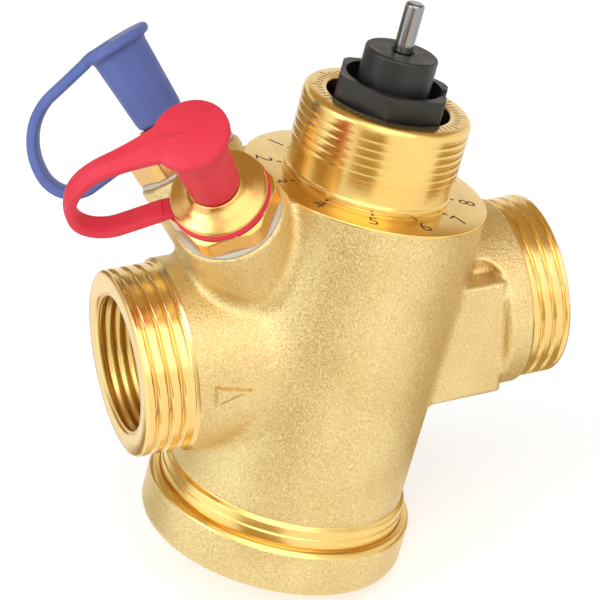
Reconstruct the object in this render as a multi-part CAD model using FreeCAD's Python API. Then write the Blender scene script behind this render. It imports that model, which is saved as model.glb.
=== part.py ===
import FreeCAD, Part
import math
import os
from FreeCAD import Rotation, Vector

# Balancing valve for a DN 20 pipe, in millimetres. X runs along the pipe from inlet to outlet and Z is up.
# The origin is where the pipe's axis crosses the valve's axis, which leans towards the outlet.
# Heights along the valve's axis are counted from that crossing.

# Pipe ports: parallel pipe threads outside and inside, plain at their crest sizes
INLET_REACH = 39.5
OUTLET_REACH = 41.0
PORT_THREAD_RADIUS = 16.62
INLET_THREAD_LENGTH = 8.8
OUTLET_THREAD_LENGTH = 7.5
PORT_CHAMFER = 0.4
SOCKET_RADIUS = 12.06
SOCKET_DEPTH = 10.0
SOCKET_CHAMFER = 0.8
BARREL_STEP = 0.6
PASSAGE_RADIUS = 6.5

# Casting round the valve's axis
AXIS_LEAN = 15.0
BODY_RADIUS = 22.0
BODY_WALL = 3.0
SHOULDER_HEIGHT = 28.2
SHOULDER_ROUND = 0.8
INLET_FILLET = 3.0
OUTLET_FILLET = 1.2

# Neck for the actuator's union nut
NECK_RADIUS = 15.0
NECK_LENGTH = 15.3
NECK_THREAD_LENGTH = 10.0
NECK_RELIEF = 0.35
NECK_CHAMFER = 0.8
NECK_RIM = 1.0
NECK_BORE_RADIUS = 10.95

# Squared block with spanner flats on the outlet barrel and the cast pocket over each flat
BLOCK_HALF_WIDTH = 15.0
BLOCK_END = 28.3
BLOCK_TOP = 10.3
BLOCK_BOTTOM = 12.5
BLOCK_ROUND = 1.8
BLOCK_BEVEL = 0.9
POCKET_HALF_WIDTH = 10.0
POCKET_RISE = 2.5
POCKET_ROUND = 3.5

# Seat web between the two chambers
WEB_TOP = 1.0
WEB_THICKNESS = 3.0
SEAT_RADIUS = 6.5
UPPER_CHAMBER_RADIUS = 9.5
UPPER_CHAMBER_HEIGHT = 23.0
REGULATOR_CHAMBER_RADIUS = 13.0
PASSAGE_MARGIN = 1.0

# Bottom cap and the body's foot that screws into it
CAP_TOP = 33.85
CAP_HEIGHT = 9.3
CAP_WALL = 1.75
CAP_FLOOR = 3.6
CAP_RIM_CHAMFER = 0.5
CAP_ROUND = 1.2
CAP_RECESS_DEPTH = 2.0
FOOT_STEP = 1.0
BAND_HEIGHT = 4.0
THREAD_CLEARANCE = 0.06

# Diaphragm regulator
DIAPHRAGM_THICKNESS = 1.0
DIAPHRAGM_BEAD = 1.6
PLATE_THICKNESS = 1.2
PLATE_RIM_GAP = 6.0
ROD_RADIUS = 2.5
STUD_RADIUS = 2.0
PISTON_NUT_FLATS = 7.0
PISTON_NUT_HEIGHT = 1.6
REGULATOR_TRAVEL = 3.0
HEAD_RADIUS = 9.0
HEAD_THICKNESS = 2.7
GUIDE_THICKNESS = 2.5
GUIDE_HUB_RADIUS = 5.0
GUIDE_HUB_LENGTH = 3.0
REGULATOR_SPRING_RADIUS = 8.0
REGULATOR_SPRING_WIRE = 0.6
REGULATOR_SPRING_TURNS = 5

# Bonnet in the neck and the preset sleeve that turns in it
BONNET_LENGTH = 9.0
SNAP_RING_THICKNESS = 1.2
SNAP_RING_WIDTH = 2.4
SNAP_RING_GROOVE = 0.9
SNAP_RING_OPENING = 40.0
SEAL_WIRE = 0.6
SLEEVE_WALL = 1.5
SLEEVE_TOP_THICKNESS = 1.7
WINDOW_HEIGHT = 12.0
WINDOW_ANGLE = 110.0
WINDOW_SILL = 3.0
HUB_RADIUS = 5.0
HUB_WALL = 1.4
HUB_FLOOR = 0.8

# Preset hexagon, gland and stem on top
NUT_FLATS = 18.8
NUT_RISE = 3.8
NUT_TURN = 2.0
NUT_RECESS_WALL = 0.8
NUT_RECESS_DEPTH = 3.3
NUT_CORNER_CHAMFER = 0.3
POINTER_WIDTH = 4.0
POINTER_HEIGHT = 1.6
GLAND_RADIUS = 6.45
GLAND_RISE = 5.3
GLAND_ROUND = 0.5
GLAND_SHANK_LENGTH = 6.0
STEM_RADIUS = 1.7
STEM_RISE = 8.8
STEM_TRAVEL = 4.0
STEM_TIP_ROUND = 0.6
STEM_CLIP_RADIUS = 3.3
STEM_CLIP_THICKNESS = 0.9
STEM_CLIP_GROOVE = 0.4
STEM_SPRING_RADIUS = 2.6
STEM_SPRING_WIRE = 0.4
STEM_SPRING_TURNS = 6
DISC_THICKNESS = 4.0
DISC_SEAL_THICKNESS = 1.2
DISC_SEAL_WIDTH = 4.6

# Test plugs, set in cast bosses that lean out over the inlet
PLUG_STANDOFF = 7.4
PLUG_SPACING = 19.76
PLUG_DROP = 3.56
PLUG_LEAN = 45.8
PLUG_SPREAD = 33.6
BOSS_RADIUS = 9.7
BOSS_LENGTH = 25.0
BOSS_ROUND = 0.8
PLUG_SHANK_RADIUS = 4.86
PLUG_SHANK_LENGTH = 8.0
TAPPING_RADIUS = 1.2
WASHER_RADIUS = 8.9
WASHER_THICKNESS = 1.2
PLUG_FLATS = 17.0
PLUG_CORNER_TURNING = 0.5
PLUG_HEX_HEIGHT = 3.7
PLUG_HEX_TURN = 15.0
GROOVE_RADIUS = 6.9
GROOVE_HEIGHT = 1.3
FLANGE_RADIUS = 8.3
FLANGE_HEIGHT = 0.8
CONE_HEIGHT = 1.5
LIP_RADIUS = 4.5
LIP_HEIGHT = 0.4
NIPPLE_RADIUS = 3.0
NIPPLE_LENGTH = 12.0
CORE_RADIUS = 1.8
CORE_LENGTH = 14.0

# Moulded caps with strap and ring
SKIRT_FOOT_RADIUS = 4.4
SKIRT_TOP_RADIUS = 5.0
SKIRT_LENGTH = 14.3
DISC_RADIUS = 6.45
DISC_HEIGHT = 1.6
CAP_EDGE_ROUND = 0.4
RING_WIDTH = 1.3
TONGUE_REACH = 9.8
STRAP_WIDTH = 3.7
STRAP_THICKNESS = 1.8
STRAP_START = 0.45
STRAP_REACH = 23.8
STRAP_DROOP = 11.0
STRAP_TOP_BEND = 11.6
STRAP_RISE = 6.7
STRAP_TURNS = {"red": 134.0, "blue": 184.7}

# Clearances: a running fit, a loose fit between pieces that move past each other and a fit of soft pieces
RUNNING = 0.05
LOOSE = 0.3
SOFT = 0.05

# Heights along the valve's axis that several pieces share
BARREL_RADIUS = PORT_THREAD_RADIUS + BARREL_STEP
NECK_TOP = SHOULDER_HEIGHT + NECK_LENGTH
WEB_BOTTOM = WEB_TOP - WEB_THICKNESS
INLET_LEVEL = WEB_BOTTOM - PASSAGE_MARGIN - PASSAGE_RADIUS
GUIDE_SEAT = INLET_LEVEL - PASSAGE_RADIUS - PASSAGE_MARGIN
OUTLET_LEVEL = WEB_TOP + WINDOW_SILL + PASSAGE_RADIUS
BONNET_SEAT = WEB_TOP + UPPER_CHAMBER_HEIGHT
BONNET_TOP = BONNET_SEAT + BONNET_LENGTH
FOOT_RADIUS = BODY_RADIUS + FOOT_STEP
LOWER_CHAMBER_RADIUS = BODY_RADIUS - BODY_WALL
CAP_BOTTOM = -CAP_TOP - CAP_HEIGHT
CAP_FLOOR_LEVEL = CAP_BOTTOM + CAP_FLOOR
FOOT_END = CAP_FLOOR_LEVEL + DIAPHRAGM_THICKNESS
PLATE_TOP = FOOT_END + PLATE_THICKNESS
PLATE_RADIUS = LOWER_CHAMBER_RADIUS - PLATE_RIM_GAP
GUIDE_BOTTOM = GUIDE_SEAT - GUIDE_THICKNESS
SLEEVE_RADIUS = UPPER_CHAMBER_RADIUS - RUNNING
SLEEVE_BORE = SLEEVE_RADIUS - SLEEVE_WALL
SLEEVE_TOP = BONNET_SEAT - LOOSE
HUB_BORE = HUB_RADIUS - HUB_WALL
HUB_FLOOR_LEVEL = SLEEVE_TOP + HUB_FLOOR
NUT_BOTTOM = BONNET_TOP + SNAP_RING_THICKNESS + LOOSE
NUT_TOP = NECK_TOP + NUT_RISE
NUT_FLOOR = NUT_TOP - NUT_RECESS_DEPTH
HUB_TOP = NUT_FLOOR - LOOSE
GLAND_TOP = NUT_TOP + GLAND_RISE
GLAND_FOOT = NUT_FLOOR - GLAND_SHANK_LENGTH
STEM_TOP = GLAND_TOP + STEM_RISE
CLIP_TOP = GLAND_FOOT - LOOSE
CLIP_BOTTOM = CLIP_TOP - STEM_CLIP_THICKNESS
DISC_BOTTOM = WEB_TOP + LOOSE + STEM_TRAVEL
DISC_TOP = DISC_BOTTOM + DISC_THICKNESS
DISC_SEAL_RADIUS = SEAT_RADIUS + (SLEEVE_BORE - SEAT_RADIUS) / 2
DISC_SEAL_BORE = DISC_SEAL_RADIUS - DISC_SEAL_WIDTH
BONNET_SEAL_LEVEL = BONNET_SEAT + BONNET_LENGTH / 2
STEM_SEAL_LEVEL = GLAND_FOOT + GLAND_SHANK_LENGTH / 2

# Heights along a test plug's axis, counted from the face of its boss
HEX_TOP = WASHER_THICKNESS + PLUG_HEX_HEIGHT
FLANGE_BOTTOM = HEX_TOP + GROOVE_HEIGHT
FLANGE_TOP = FLANGE_BOTTOM + FLANGE_HEIGHT
CONE_TOP = FLANGE_TOP + CONE_HEIGHT
LIP_TOP = CONE_TOP + LIP_HEIGHT
NIPPLE_TOP = LIP_TOP + NIPPLE_LENGTH
SKIRT_FOOT = LIP_TOP + SOFT
DISC_FOOT = SKIRT_FOOT + SKIRT_LENGTH
RING_LEVEL = HEX_TOP + GROOVE_HEIGHT / 2

ORIGIN = Vector(0, 0, 0)
Y_AXIS = Vector(0, 1, 0)
Z_AXIS = Vector(0, 0, 1)
FULL_TURN = 360.0
HEX_SIDES = 6
SIDES = ("red", "blue")


def turned(profile):
    """Solid of revolution about Z from corners given as radius and height."""
    corners = [Vector(radius, 0, height) for radius, height in profile]
    outline = Part.makePolygon(corners + corners[:1])
    return Part.Face(outline).revolve(ORIGIN, Z_AXIS, FULL_TURN)


def rod(radius, bottom, top):
    """Round bar along Z between two heights."""
    return Part.makeCylinder(radius, top - bottom, Vector(0, 0, bottom))


def tube(outer, inner, bottom, top):
    """Round tube along Z between two heights."""
    return rod(outer, bottom, top).cut(rod(inner, bottom, top))


def drilled(start, end, radius):
    """Round bar between two points."""
    run = end - start
    return Part.makeCylinder(radius, run.Length, start, run)


def hexagon(flats, bottom, top, turn=0.0):
    """Hexagonal bar along Z with a corner on +X, turned by an angle."""
    corner = flats / math.sqrt(3)
    points = []
    for step in range(HEX_SIDES):
        angle = math.radians(FULL_TURN / HEX_SIDES * step + turn)
        points.append(Vector(corner * math.cos(angle), corner * math.sin(angle), bottom))
    face = Part.Face(Part.makePolygon(points + points[:1]))
    return face.extrude(Vector(0, 0, top - bottom))


def ring_seal(radius, half, height):
    """Square-cut seal ring about Z."""
    return tube(radius + half, radius - half, height - half, height + half)


def coil_spring(radius, wire, turns, bottom, top):
    """Compression spring about Z, wound from square wire, that fills the space between two heights."""
    height = top - bottom - 2 * wire
    path = Part.makeHelix(height / turns, height, radius)
    square = ((-wire, -wire), (wire, -wire), (wire, wire), (-wire, wire))
    corners = [Vector(radius + out, 0, up) for out, up in square]
    section = Part.makePolygon(corners + corners[:1])
    coil = Part.Wire(path).makePipeShell([section], True, True)
    coil.translate(Vector(0, 0, bottom + wire))
    return coil


def along_x(shape, forward=True):
    """Lay a shape that was built along Z along +X or -X."""
    laid = shape.copy()
    laid.rotate(ORIGIN, Y_AXIS, 90 if forward else -90)
    return laid


def on_valve_axis(shape):
    """Lean a shape that was built along Z to the valve's axis."""
    leaned = shape.copy()
    leaned.rotate(ORIGIN, Y_AXIS, AXIS_LEAN)
    return leaned


def on_plug_axis(shape, side):
    """Set a shape that was built along Z, with its foot at the boss's face, on a test plug's axis."""
    sign = -1 if side == "red" else 1
    placed = shape.copy()
    placed.rotate(ORIGIN, Y_AXIS, -PLUG_LEAN)
    placed.rotate(ORIGIN, Z_AXIS, -sign * PLUG_SPREAD)
    out = BODY_RADIUS + PLUG_STANDOFF
    placed.translate(Vector(-out, sign * PLUG_SPACING / 2, SHOULDER_HEIGHT - PLUG_DROP))
    return on_valve_axis(placed)


def valve_point(height):
    """Point on the valve's axis."""
    return Rotation(Y_AXIS, AXIS_LEAN).multVec(Vector(0, 0, height))


# Body casting

def port_turning(reach, thread_length):
    """Space round a port's thread and its lead-in chamfer, along +Z, that turning takes off the casting."""
    end = reach - thread_length
    clear = BARREL_RADIUS + INLET_FILLET + OUTLET_FILLET
    return turned([
        (PORT_THREAD_RADIUS, end),
        (BARREL_RADIUS, end - BARREL_STEP),
        (clear, end - BARREL_STEP),
        (clear, reach),
        (PORT_THREAD_RADIUS - PORT_CHAMFER, reach),
        (PORT_THREAD_RADIUS, reach - PORT_CHAMFER),
    ])


def outlet_pocket(sign):
    """Space that a spanner flat and the pocket over it take out of one side of the outlet barrel."""
    low = BLOCK_ROUND - BLOCK_BOTTOM
    box = Part.makeBox(BLOCK_END, BARREL_RADIUS, BLOCK_TOP + POCKET_RISE - low, Vector(0, 0, low))
    corner = [e for e in box.Edges if e.BoundBox.XMin > 0 and e.BoundBox.ZMin > 0]
    box = box.makeFillet(POCKET_ROUND, [e for e in corner if e.BoundBox.YLength > BARREL_RADIUS / 2])
    box.translate(Vector(0, POCKET_HALF_WIDTH if sign > 0 else -POCKET_HALF_WIDTH - BARREL_RADIUS, 0))
    return box


def outlet_block():
    """Squared block round the outlet barrel, rounded below and bevelled along its upper edges."""
    block = Part.makeBox(BLOCK_END, 2 * BLOCK_HALF_WIDTH, BLOCK_BOTTOM + BLOCK_TOP,
                         Vector(0, -BLOCK_HALF_WIDTH, -BLOCK_BOTTOM))
    low = [e for e in block.Edges if e.BoundBox.ZMax < 0 and e.BoundBox.XMax > 0]
    block = block.makeFillet(BLOCK_ROUND, [e for e in low if e.BoundBox.XMax > BLOCK_END / 2])
    high = [e for e in block.Edges if e.BoundBox.ZMin > 0 and e.BoundBox.XLength > BLOCK_END / 2]
    return block.makeChamfer(BLOCK_BEVEL, high)


def valve_barrel():
    """Cast barrel round the valve's axis, from the band over the bottom cap to the shoulder."""
    barrel = rod(BODY_RADIUS, -CAP_TOP + BAND_HEIGHT, SHOULDER_HEIGHT)
    rim = [e for e in barrel.Edges if e.BoundBox.ZMin > 0]
    return on_valve_axis(barrel.makeFillet(SHOULDER_ROUND, rim))


def blended(casting, barrel, low, high, fillet):
    """Join a port's barrel to the casting, with a cast fillet where the join lies between two X places."""
    joined = casting.fuse(barrel).removeSplitter()
    curves = [e for e in joined.Edges if not e.Degenerated and e.Curve.TypeId == "Part::GeomBSplineCurve"]
    join = [e for e in curves if e.BoundBox.XMin > low and e.BoundBox.XMax < high]
    return joined.makeFillet(fillet, join)


def test_boss():
    """Cast boss for a test plug, along Z with its face at zero height."""
    return turned([
        (0, -BOSS_LENGTH),
        (BOSS_RADIUS, -BOSS_LENGTH),
        (BOSS_RADIUS, -BOSS_ROUND),
        (BOSS_RADIUS - BOSS_ROUND, 0),
        (0, 0),
    ])


def cast_outside():
    """Outside of the casting, before machining."""
    barrel = valve_barrel()
    inlet = along_x(rod(BARREL_RADIUS, 0, INLET_REACH), forward=False)
    outlet = along_x(rod(BARREL_RADIUS, 0, OUTLET_REACH))
    casting = blended(barrel, inlet, -INLET_REACH, 0, INLET_FILLET)
    casting = blended(casting, outlet, 0, OUTLET_REACH, OUTLET_FILLET)
    casting = casting.cut(along_x(port_turning(INLET_REACH, INLET_THREAD_LENGTH), forward=False))
    casting = casting.cut(along_x(port_turning(OUTLET_REACH, OUTLET_THREAD_LENGTH)))
    for sign in (1, -1):
        casting = casting.cut(outlet_pocket(sign).cut(barrel))
    bosses = [on_plug_axis(test_boss(), side) for side in SIDES]
    return casting.multiFuse([outlet_block()] + bosses).removeSplitter()


def turned_outside():
    """Machined ends of the body on the valve's axis: the neck with its relief and rim, the band and the foot."""
    relief = NECK_RADIUS - NECK_RELIEF
    relief_top = NECK_TOP - NECK_THREAD_LENGTH
    neck = turned([
        (0, WEB_TOP),
        (NECK_RADIUS, WEB_TOP),
        (NECK_RADIUS, SHOULDER_HEIGHT + NECK_RIM),
        (relief, SHOULDER_HEIGHT + NECK_RIM + NECK_RELIEF),
        (relief, relief_top - NECK_RELIEF),
        (NECK_RADIUS, relief_top),
        (NECK_RADIUS, NECK_TOP - NECK_CHAMFER),
        (NECK_RADIUS - NECK_CHAMFER, NECK_TOP),
        (0, NECK_TOP),
    ])
    foot = turned([
        (0, FOOT_END),
        (FOOT_RADIUS, FOOT_END),
        (FOOT_RADIUS, -CAP_TOP + BAND_HEIGHT - FOOT_STEP),
        (BODY_RADIUS, -CAP_TOP + BAND_HEIGHT),
        (0, -CAP_TOP + BAND_HEIGHT),
    ])
    return [on_valve_axis(neck), on_valve_axis(foot)]


def port_socket(reach):
    """Space inside a port's thread, along +Z, with its lead-in chamfer."""
    return turned([
        (0, reach - SOCKET_DEPTH),
        (SOCKET_RADIUS, reach - SOCKET_DEPTH),
        (SOCKET_RADIUS, reach - SOCKET_CHAMFER),
        (SOCKET_RADIUS + SOCKET_CHAMFER, reach),
        (0, reach),
    ])


def valve_bore():
    """Space along the valve's axis: neck bore, upper chamber, seat, regulator chamber and lower chamber."""
    groove = NECK_BORE_RADIUS + SNAP_RING_GROOVE
    groove_top = BONNET_TOP + SNAP_RING_THICKNESS + SOFT
    return turned([
        (0, FOOT_END),
        (LOWER_CHAMBER_RADIUS, FOOT_END),
        (LOWER_CHAMBER_RADIUS, GUIDE_SEAT),
        (REGULATOR_CHAMBER_RADIUS, GUIDE_SEAT),
        (REGULATOR_CHAMBER_RADIUS, WEB_BOTTOM),
        (SEAT_RADIUS, WEB_BOTTOM),
        (SEAT_RADIUS, WEB_TOP),
        (UPPER_CHAMBER_RADIUS, WEB_TOP),
        (UPPER_CHAMBER_RADIUS, BONNET_SEAT),
        (NECK_BORE_RADIUS, BONNET_SEAT),
        (NECK_BORE_RADIUS, BONNET_TOP),
        (groove, BONNET_TOP),
        (groove, groove_top),
        (NECK_BORE_RADIUS, groove_top),
        (NECK_BORE_RADIUS, NECK_TOP),
        (0, NECK_TOP),
    ])


def plug_socket():
    """Space for a test plug's shank, along Z below the boss's face."""
    return rod(PLUG_SHANK_RADIUS + RUNNING, -PLUG_SHANK_LENGTH - LOOSE, 0)


def socket_bottom(side):
    """Middle of the bottom of a test plug's socket."""
    spot = Part.Vertex(0, 0, -PLUG_SHANK_LENGTH)
    return on_plug_axis(spot, side).Point


def make_body():
    inlet_floor = Vector(-INLET_REACH + SOCKET_DEPTH, 0, 0)
    outlet_floor = Vector(OUTLET_REACH - SOCKET_DEPTH, 0, 0)
    inlet_chamber = valve_point(INLET_LEVEL)
    outlet_chamber = valve_point(OUTLET_LEVEL)
    spaces = [
        along_x(port_socket(INLET_REACH), forward=False),
        along_x(port_socket(OUTLET_REACH)),
        drilled(inlet_floor, inlet_chamber, PASSAGE_RADIUS),
        drilled(outlet_floor, outlet_chamber, PASSAGE_RADIUS),
        on_valve_axis(valve_bore()),
        on_valve_axis(tube(BODY_RADIUS, NECK_RADIUS, SHOULDER_HEIGHT, NECK_TOP)),
        drilled(socket_bottom("red"), (inlet_floor + inlet_chamber) / 2, TAPPING_RADIUS),
        drilled(socket_bottom("blue"), outlet_chamber, TAPPING_RADIUS),
    ]
    spaces += [on_plug_axis(plug_socket(), side) for side in SIDES]
    body = cast_outside().multiFuse(turned_outside()).removeSplitter()
    for space in spaces:
        body = body.cut(space)
    return body


# Bottom cap and the diaphragm regulator above it

def make_bottom_cap():
    bore = FOOT_RADIUS + THREAD_CLEARANCE
    outer = bore + CAP_WALL
    recess = LOWER_CHAMBER_RADIUS - 2 * DIAPHRAGM_THICKNESS
    cap = turned([
        (0, CAP_BOTTOM),
        (outer, CAP_BOTTOM),
        (outer, -CAP_TOP - CAP_RIM_CHAMFER),
        (outer - CAP_RIM_CHAMFER, -CAP_TOP),
        (bore, -CAP_TOP),
        (bore, CAP_FLOOR_LEVEL),
        (recess, CAP_FLOOR_LEVEL),
        (recess, CAP_FLOOR_LEVEL - CAP_RECESS_DEPTH),
        (0, CAP_FLOOR_LEVEL - CAP_RECESS_DEPTH),
    ])
    edge = [e for e in cap.Edges if e.BoundBox.ZMax < CAP_BOTTOM + CAP_ROUND and e.BoundBox.XMax > bore]
    return cap.makeFillet(CAP_ROUND, edge)


def make_diaphragm():
    fold_in = PLATE_RADIUS + DIAPHRAGM_THICKNESS
    fold_out = LOWER_CHAMBER_RADIUS - DIAPHRAGM_THICKNESS
    slope = DIAPHRAGM_THICKNESS
    low = CAP_FLOOR_LEVEL
    high = FOOT_END
    return turned([
        (STUD_RADIUS + SOFT, low),
        (fold_in + slope, low),
        (fold_in + 2 * slope, low + DIAPHRAGM_BEAD),
        (fold_out - 2 * slope, low + DIAPHRAGM_BEAD),
        (fold_out - slope, low),
        (FOOT_RADIUS - SOFT, low),
        (FOOT_RADIUS - SOFT, high),
        (fold_out, high),
        (fold_out - slope, high + DIAPHRAGM_BEAD),
        (fold_in + slope, high + DIAPHRAGM_BEAD),
        (fold_in, high),
        (STUD_RADIUS + SOFT, high),
    ])


def make_diaphragm_plate():
    return tube(PLATE_RADIUS, STUD_RADIUS + RUNNING, FOOT_END, PLATE_TOP)


def make_piston_nut():
    low = CAP_FLOOR_LEVEL - PISTON_NUT_HEIGHT
    nut = hexagon(PISTON_NUT_FLATS, low, CAP_FLOOR_LEVEL)
    return nut.cut(rod(STUD_RADIUS + RUNNING, low, CAP_FLOOR_LEVEL))


def make_regulator_piston():
    head_top = WEB_BOTTOM - LOOSE - REGULATOR_TRAVEL
    head_bottom = head_top - HEAD_THICKNESS
    stud_end = CAP_FLOOR_LEVEL - PISTON_NUT_HEIGHT
    nose = SEAT_RADIUS - 2 * LOOSE
    return turned([
        (0, stud_end),
        (STUD_RADIUS, stud_end),
        (STUD_RADIUS, PLATE_TOP),
        (ROD_RADIUS, PLATE_TOP),
        (ROD_RADIUS, head_bottom),
        (HEAD_RADIUS, head_bottom),
        (HEAD_RADIUS, head_top),
        (nose, head_top),
        (ROD_RADIUS, head_top + WEB_THICKNESS / 2),
        (0, head_top + WEB_THICKNESS / 2),
    ])


def make_regulator_guide():
    plate = rod(LOWER_CHAMBER_RADIUS - RUNNING, GUIDE_BOTTOM, GUIDE_SEAT)
    hub = rod(GUIDE_HUB_RADIUS, GUIDE_BOTTOM - GUIDE_HUB_LENGTH, GUIDE_BOTTOM)
    hole = rod(ROD_RADIUS + RUNNING, GUIDE_BOTTOM - GUIDE_HUB_LENGTH, GUIDE_SEAT)
    return plate.fuse(hub).cut(hole).removeSplitter()


def make_regulator_spring():
    return coil_spring(REGULATOR_SPRING_RADIUS, REGULATOR_SPRING_WIRE, REGULATOR_SPRING_TURNS,
                       PLATE_TOP + SOFT, GUIDE_BOTTOM - SOFT)


# Bonnet, its seals and the snap ring over it

def make_bonnet():
    outer = NECK_BORE_RADIUS - RUNNING
    bore = HUB_RADIUS + RUNNING
    outer_groove = NECK_BORE_RADIUS - 2 * (SEAL_WIRE + SOFT)
    inner_groove = HUB_RADIUS + 2 * (SEAL_WIRE + SOFT)
    half = SEAL_WIRE + SOFT
    return turned([
        (bore, BONNET_SEAT),
        (outer, BONNET_SEAT),
        (outer, BONNET_SEAL_LEVEL - half),
        (outer_groove, BONNET_SEAL_LEVEL - half),
        (outer_groove, BONNET_SEAL_LEVEL + half),
        (outer, BONNET_SEAL_LEVEL + half),
        (outer, BONNET_TOP),
        (bore, BONNET_TOP),
        (bore, BONNET_SEAL_LEVEL + half),
        (inner_groove, BONNET_SEAL_LEVEL + half),
        (inner_groove, BONNET_SEAL_LEVEL - half),
        (bore, BONNET_SEAL_LEVEL - half),
    ])


def make_bonnet_seal():
    return ring_seal(NECK_BORE_RADIUS - SEAL_WIRE - SOFT, SEAL_WIRE, BONNET_SEAL_LEVEL)


def make_hub_seal():
    return ring_seal(HUB_RADIUS + SEAL_WIRE + SOFT, SEAL_WIRE, BONNET_SEAL_LEVEL)


def make_bonnet_ring():
    outer = NECK_BORE_RADIUS + SNAP_RING_GROOVE - SOFT
    top = BONNET_TOP + SNAP_RING_THICKNESS
    ring = tube(outer, outer - SNAP_RING_WIDTH, BONNET_TOP, top)
    foot = Vector(0, 0, BONNET_TOP)
    opening = Part.makeCylinder(outer, SNAP_RING_THICKNESS, foot, Z_AXIS, SNAP_RING_OPENING)
    return ring.cut(opening)


# Preset sleeve, the black hexagon that turns it and the gland

def make_preset_sleeve():
    foot = WEB_TOP + LOOSE
    ceiling = SLEEVE_TOP - SLEEVE_TOP_THICKNESS
    sleeve = turned([
        (SLEEVE_BORE, foot),
        (SLEEVE_RADIUS, foot),
        (SLEEVE_RADIUS, SLEEVE_TOP),
        (HUB_RADIUS, SLEEVE_TOP),
        (HUB_RADIUS, HUB_TOP),
        (HUB_BORE, HUB_TOP),
        (HUB_BORE, HUB_FLOOR_LEVEL),
        (STEM_RADIUS + RUNNING, HUB_FLOOR_LEVEL),
        (STEM_RADIUS + RUNNING, ceiling),
        (SLEEVE_BORE, ceiling),
    ])
    sill = Vector(0, 0, WEB_TOP + WINDOW_SILL)
    window = Part.makeCylinder(UPPER_CHAMBER_RADIUS, WINDOW_HEIGHT, sill, Z_AXIS, WINDOW_ANGLE)
    window.rotate(ORIGIN, Z_AXIS, -WINDOW_ANGLE / 2)
    return sleeve.cut(window)


def make_preset_nut():
    corner = NECK_BORE_RADIUS - LOOSE
    edge = corner - NUT_CORNER_CHAMFER
    recess = NUT_FLATS / 2 - NUT_RECESS_WALL
    turned_corners = turned([
        (0, NUT_BOTTOM),
        (edge, NUT_BOTTOM),
        (corner, NUT_BOTTOM + NUT_CORNER_CHAMFER),
        (corner, NUT_TOP - NUT_CORNER_CHAMFER),
        (edge, NUT_TOP),
        (0, NUT_TOP),
    ])
    nut = hexagon(NUT_FLATS, NUT_BOTTOM, NUT_TOP, NUT_TURN).common(turned_corners)
    nut = nut.cut(rod(recess, NUT_FLOOR, NUT_TOP))
    nut = nut.cut(rod(HUB_RADIUS + RUNNING, NUT_BOTTOM, NUT_FLOOR))
    slot_floor = NUT_TOP - POINTER_HEIGHT
    slot = Part.makeBox(corner, POINTER_WIDTH, POINTER_HEIGHT, Vector(0, -POINTER_WIDTH / 2, slot_floor))
    inset = NUT_RECESS_WALL / 4
    mark = Part.Face(Part.makePolygon([
        Vector(recess + inset, -POINTER_WIDTH / 4, slot_floor),
        Vector(recess + inset, POINTER_WIDTH / 4, slot_floor),
        Vector(recess + inset, 0, NUT_TOP),
        Vector(recess + inset, -POINTER_WIDTH / 4, slot_floor),
    ])).extrude(Vector(NUT_RECESS_WALL - 2 * inset, 0, 0))
    for shape in (slot, mark):
        shape.rotate(ORIGIN, Z_AXIS, NUT_TURN - FULL_TURN / HEX_SIDES / 2)
    return nut.cut(slot).fuse(mark).removeSplitter()


def make_gland():
    bore = STEM_RADIUS + RUNNING
    groove = STEM_RADIUS + 2 * (SEAL_WIRE + SOFT)
    half = SEAL_WIRE + SOFT
    shank = HUB_BORE - RUNNING
    gland = turned([
        (bore, GLAND_FOOT),
        (shank, GLAND_FOOT),
        (shank, NUT_FLOOR),
        (GLAND_RADIUS, NUT_FLOOR),
        (GLAND_RADIUS, GLAND_TOP),
        (bore + SEAL_WIRE, GLAND_TOP),
        (bore, GLAND_TOP - SEAL_WIRE),
        (bore, STEM_SEAL_LEVEL + half),
        (groove, STEM_SEAL_LEVEL + half),
        (groove, STEM_SEAL_LEVEL - half),
        (bore, STEM_SEAL_LEVEL - half),
    ])
    top = [e for e in gland.Edges if e.BoundBox.ZMin > GLAND_TOP - GLAND_ROUND]
    return gland.makeFillet(GLAND_ROUND, [e for e in top if e.BoundBox.XMax > shank])


# Stem with its seal, clip, spring and closing disc

def make_stem():
    foot = DISC_BOTTOM + DISC_SEAL_THICKNESS
    neck = STEM_RADIUS - STEM_CLIP_GROOVE
    stem = turned([
        (0, foot),
        (STEM_RADIUS, foot),
        (STEM_RADIUS, CLIP_BOTTOM - SOFT),
        (neck, CLIP_BOTTOM - SOFT),
        (neck, CLIP_TOP + SOFT),
        (STEM_RADIUS, CLIP_TOP + SOFT),
        (STEM_RADIUS, STEM_TOP),
        (0, STEM_TOP),
    ])
    tip = [e for e in stem.Edges if e.BoundBox.ZMin > STEM_TOP - STEM_TIP_ROUND]
    return stem.makeFillet(STEM_TIP_ROUND, tip)


def make_stem_seal():
    return ring_seal(STEM_RADIUS + SEAL_WIRE + SOFT, SEAL_WIRE, STEM_SEAL_LEVEL)


def make_stem_clip():
    return tube(STEM_CLIP_RADIUS, STEM_RADIUS - STEM_CLIP_GROOVE + SOFT, CLIP_BOTTOM, CLIP_TOP)


def make_stem_spring():
    return coil_spring(STEM_SPRING_RADIUS, STEM_SPRING_WIRE, STEM_SPRING_TURNS,
                       HUB_FLOOR_LEVEL + SOFT, CLIP_BOTTOM - SOFT)


def make_valve_disc():
    rim = SLEEVE_BORE - 2 * RUNNING
    disc = rod(rim, DISC_BOTTOM, DISC_TOP)
    disc = disc.cut(rod(STEM_RADIUS + RUNNING, DISC_BOTTOM + DISC_SEAL_THICKNESS, DISC_TOP))
    return disc.cut(tube(DISC_SEAL_RADIUS, DISC_SEAL_BORE, DISC_BOTTOM, DISC_BOTTOM + DISC_SEAL_THICKNESS))


def make_disc_seal():
    top = DISC_BOTTOM + DISC_SEAL_THICKNESS
    return tube(DISC_SEAL_RADIUS - SOFT, DISC_SEAL_BORE + SOFT, DISC_BOTTOM, top)


# Test plugs, built along Z from the boss's face

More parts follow.
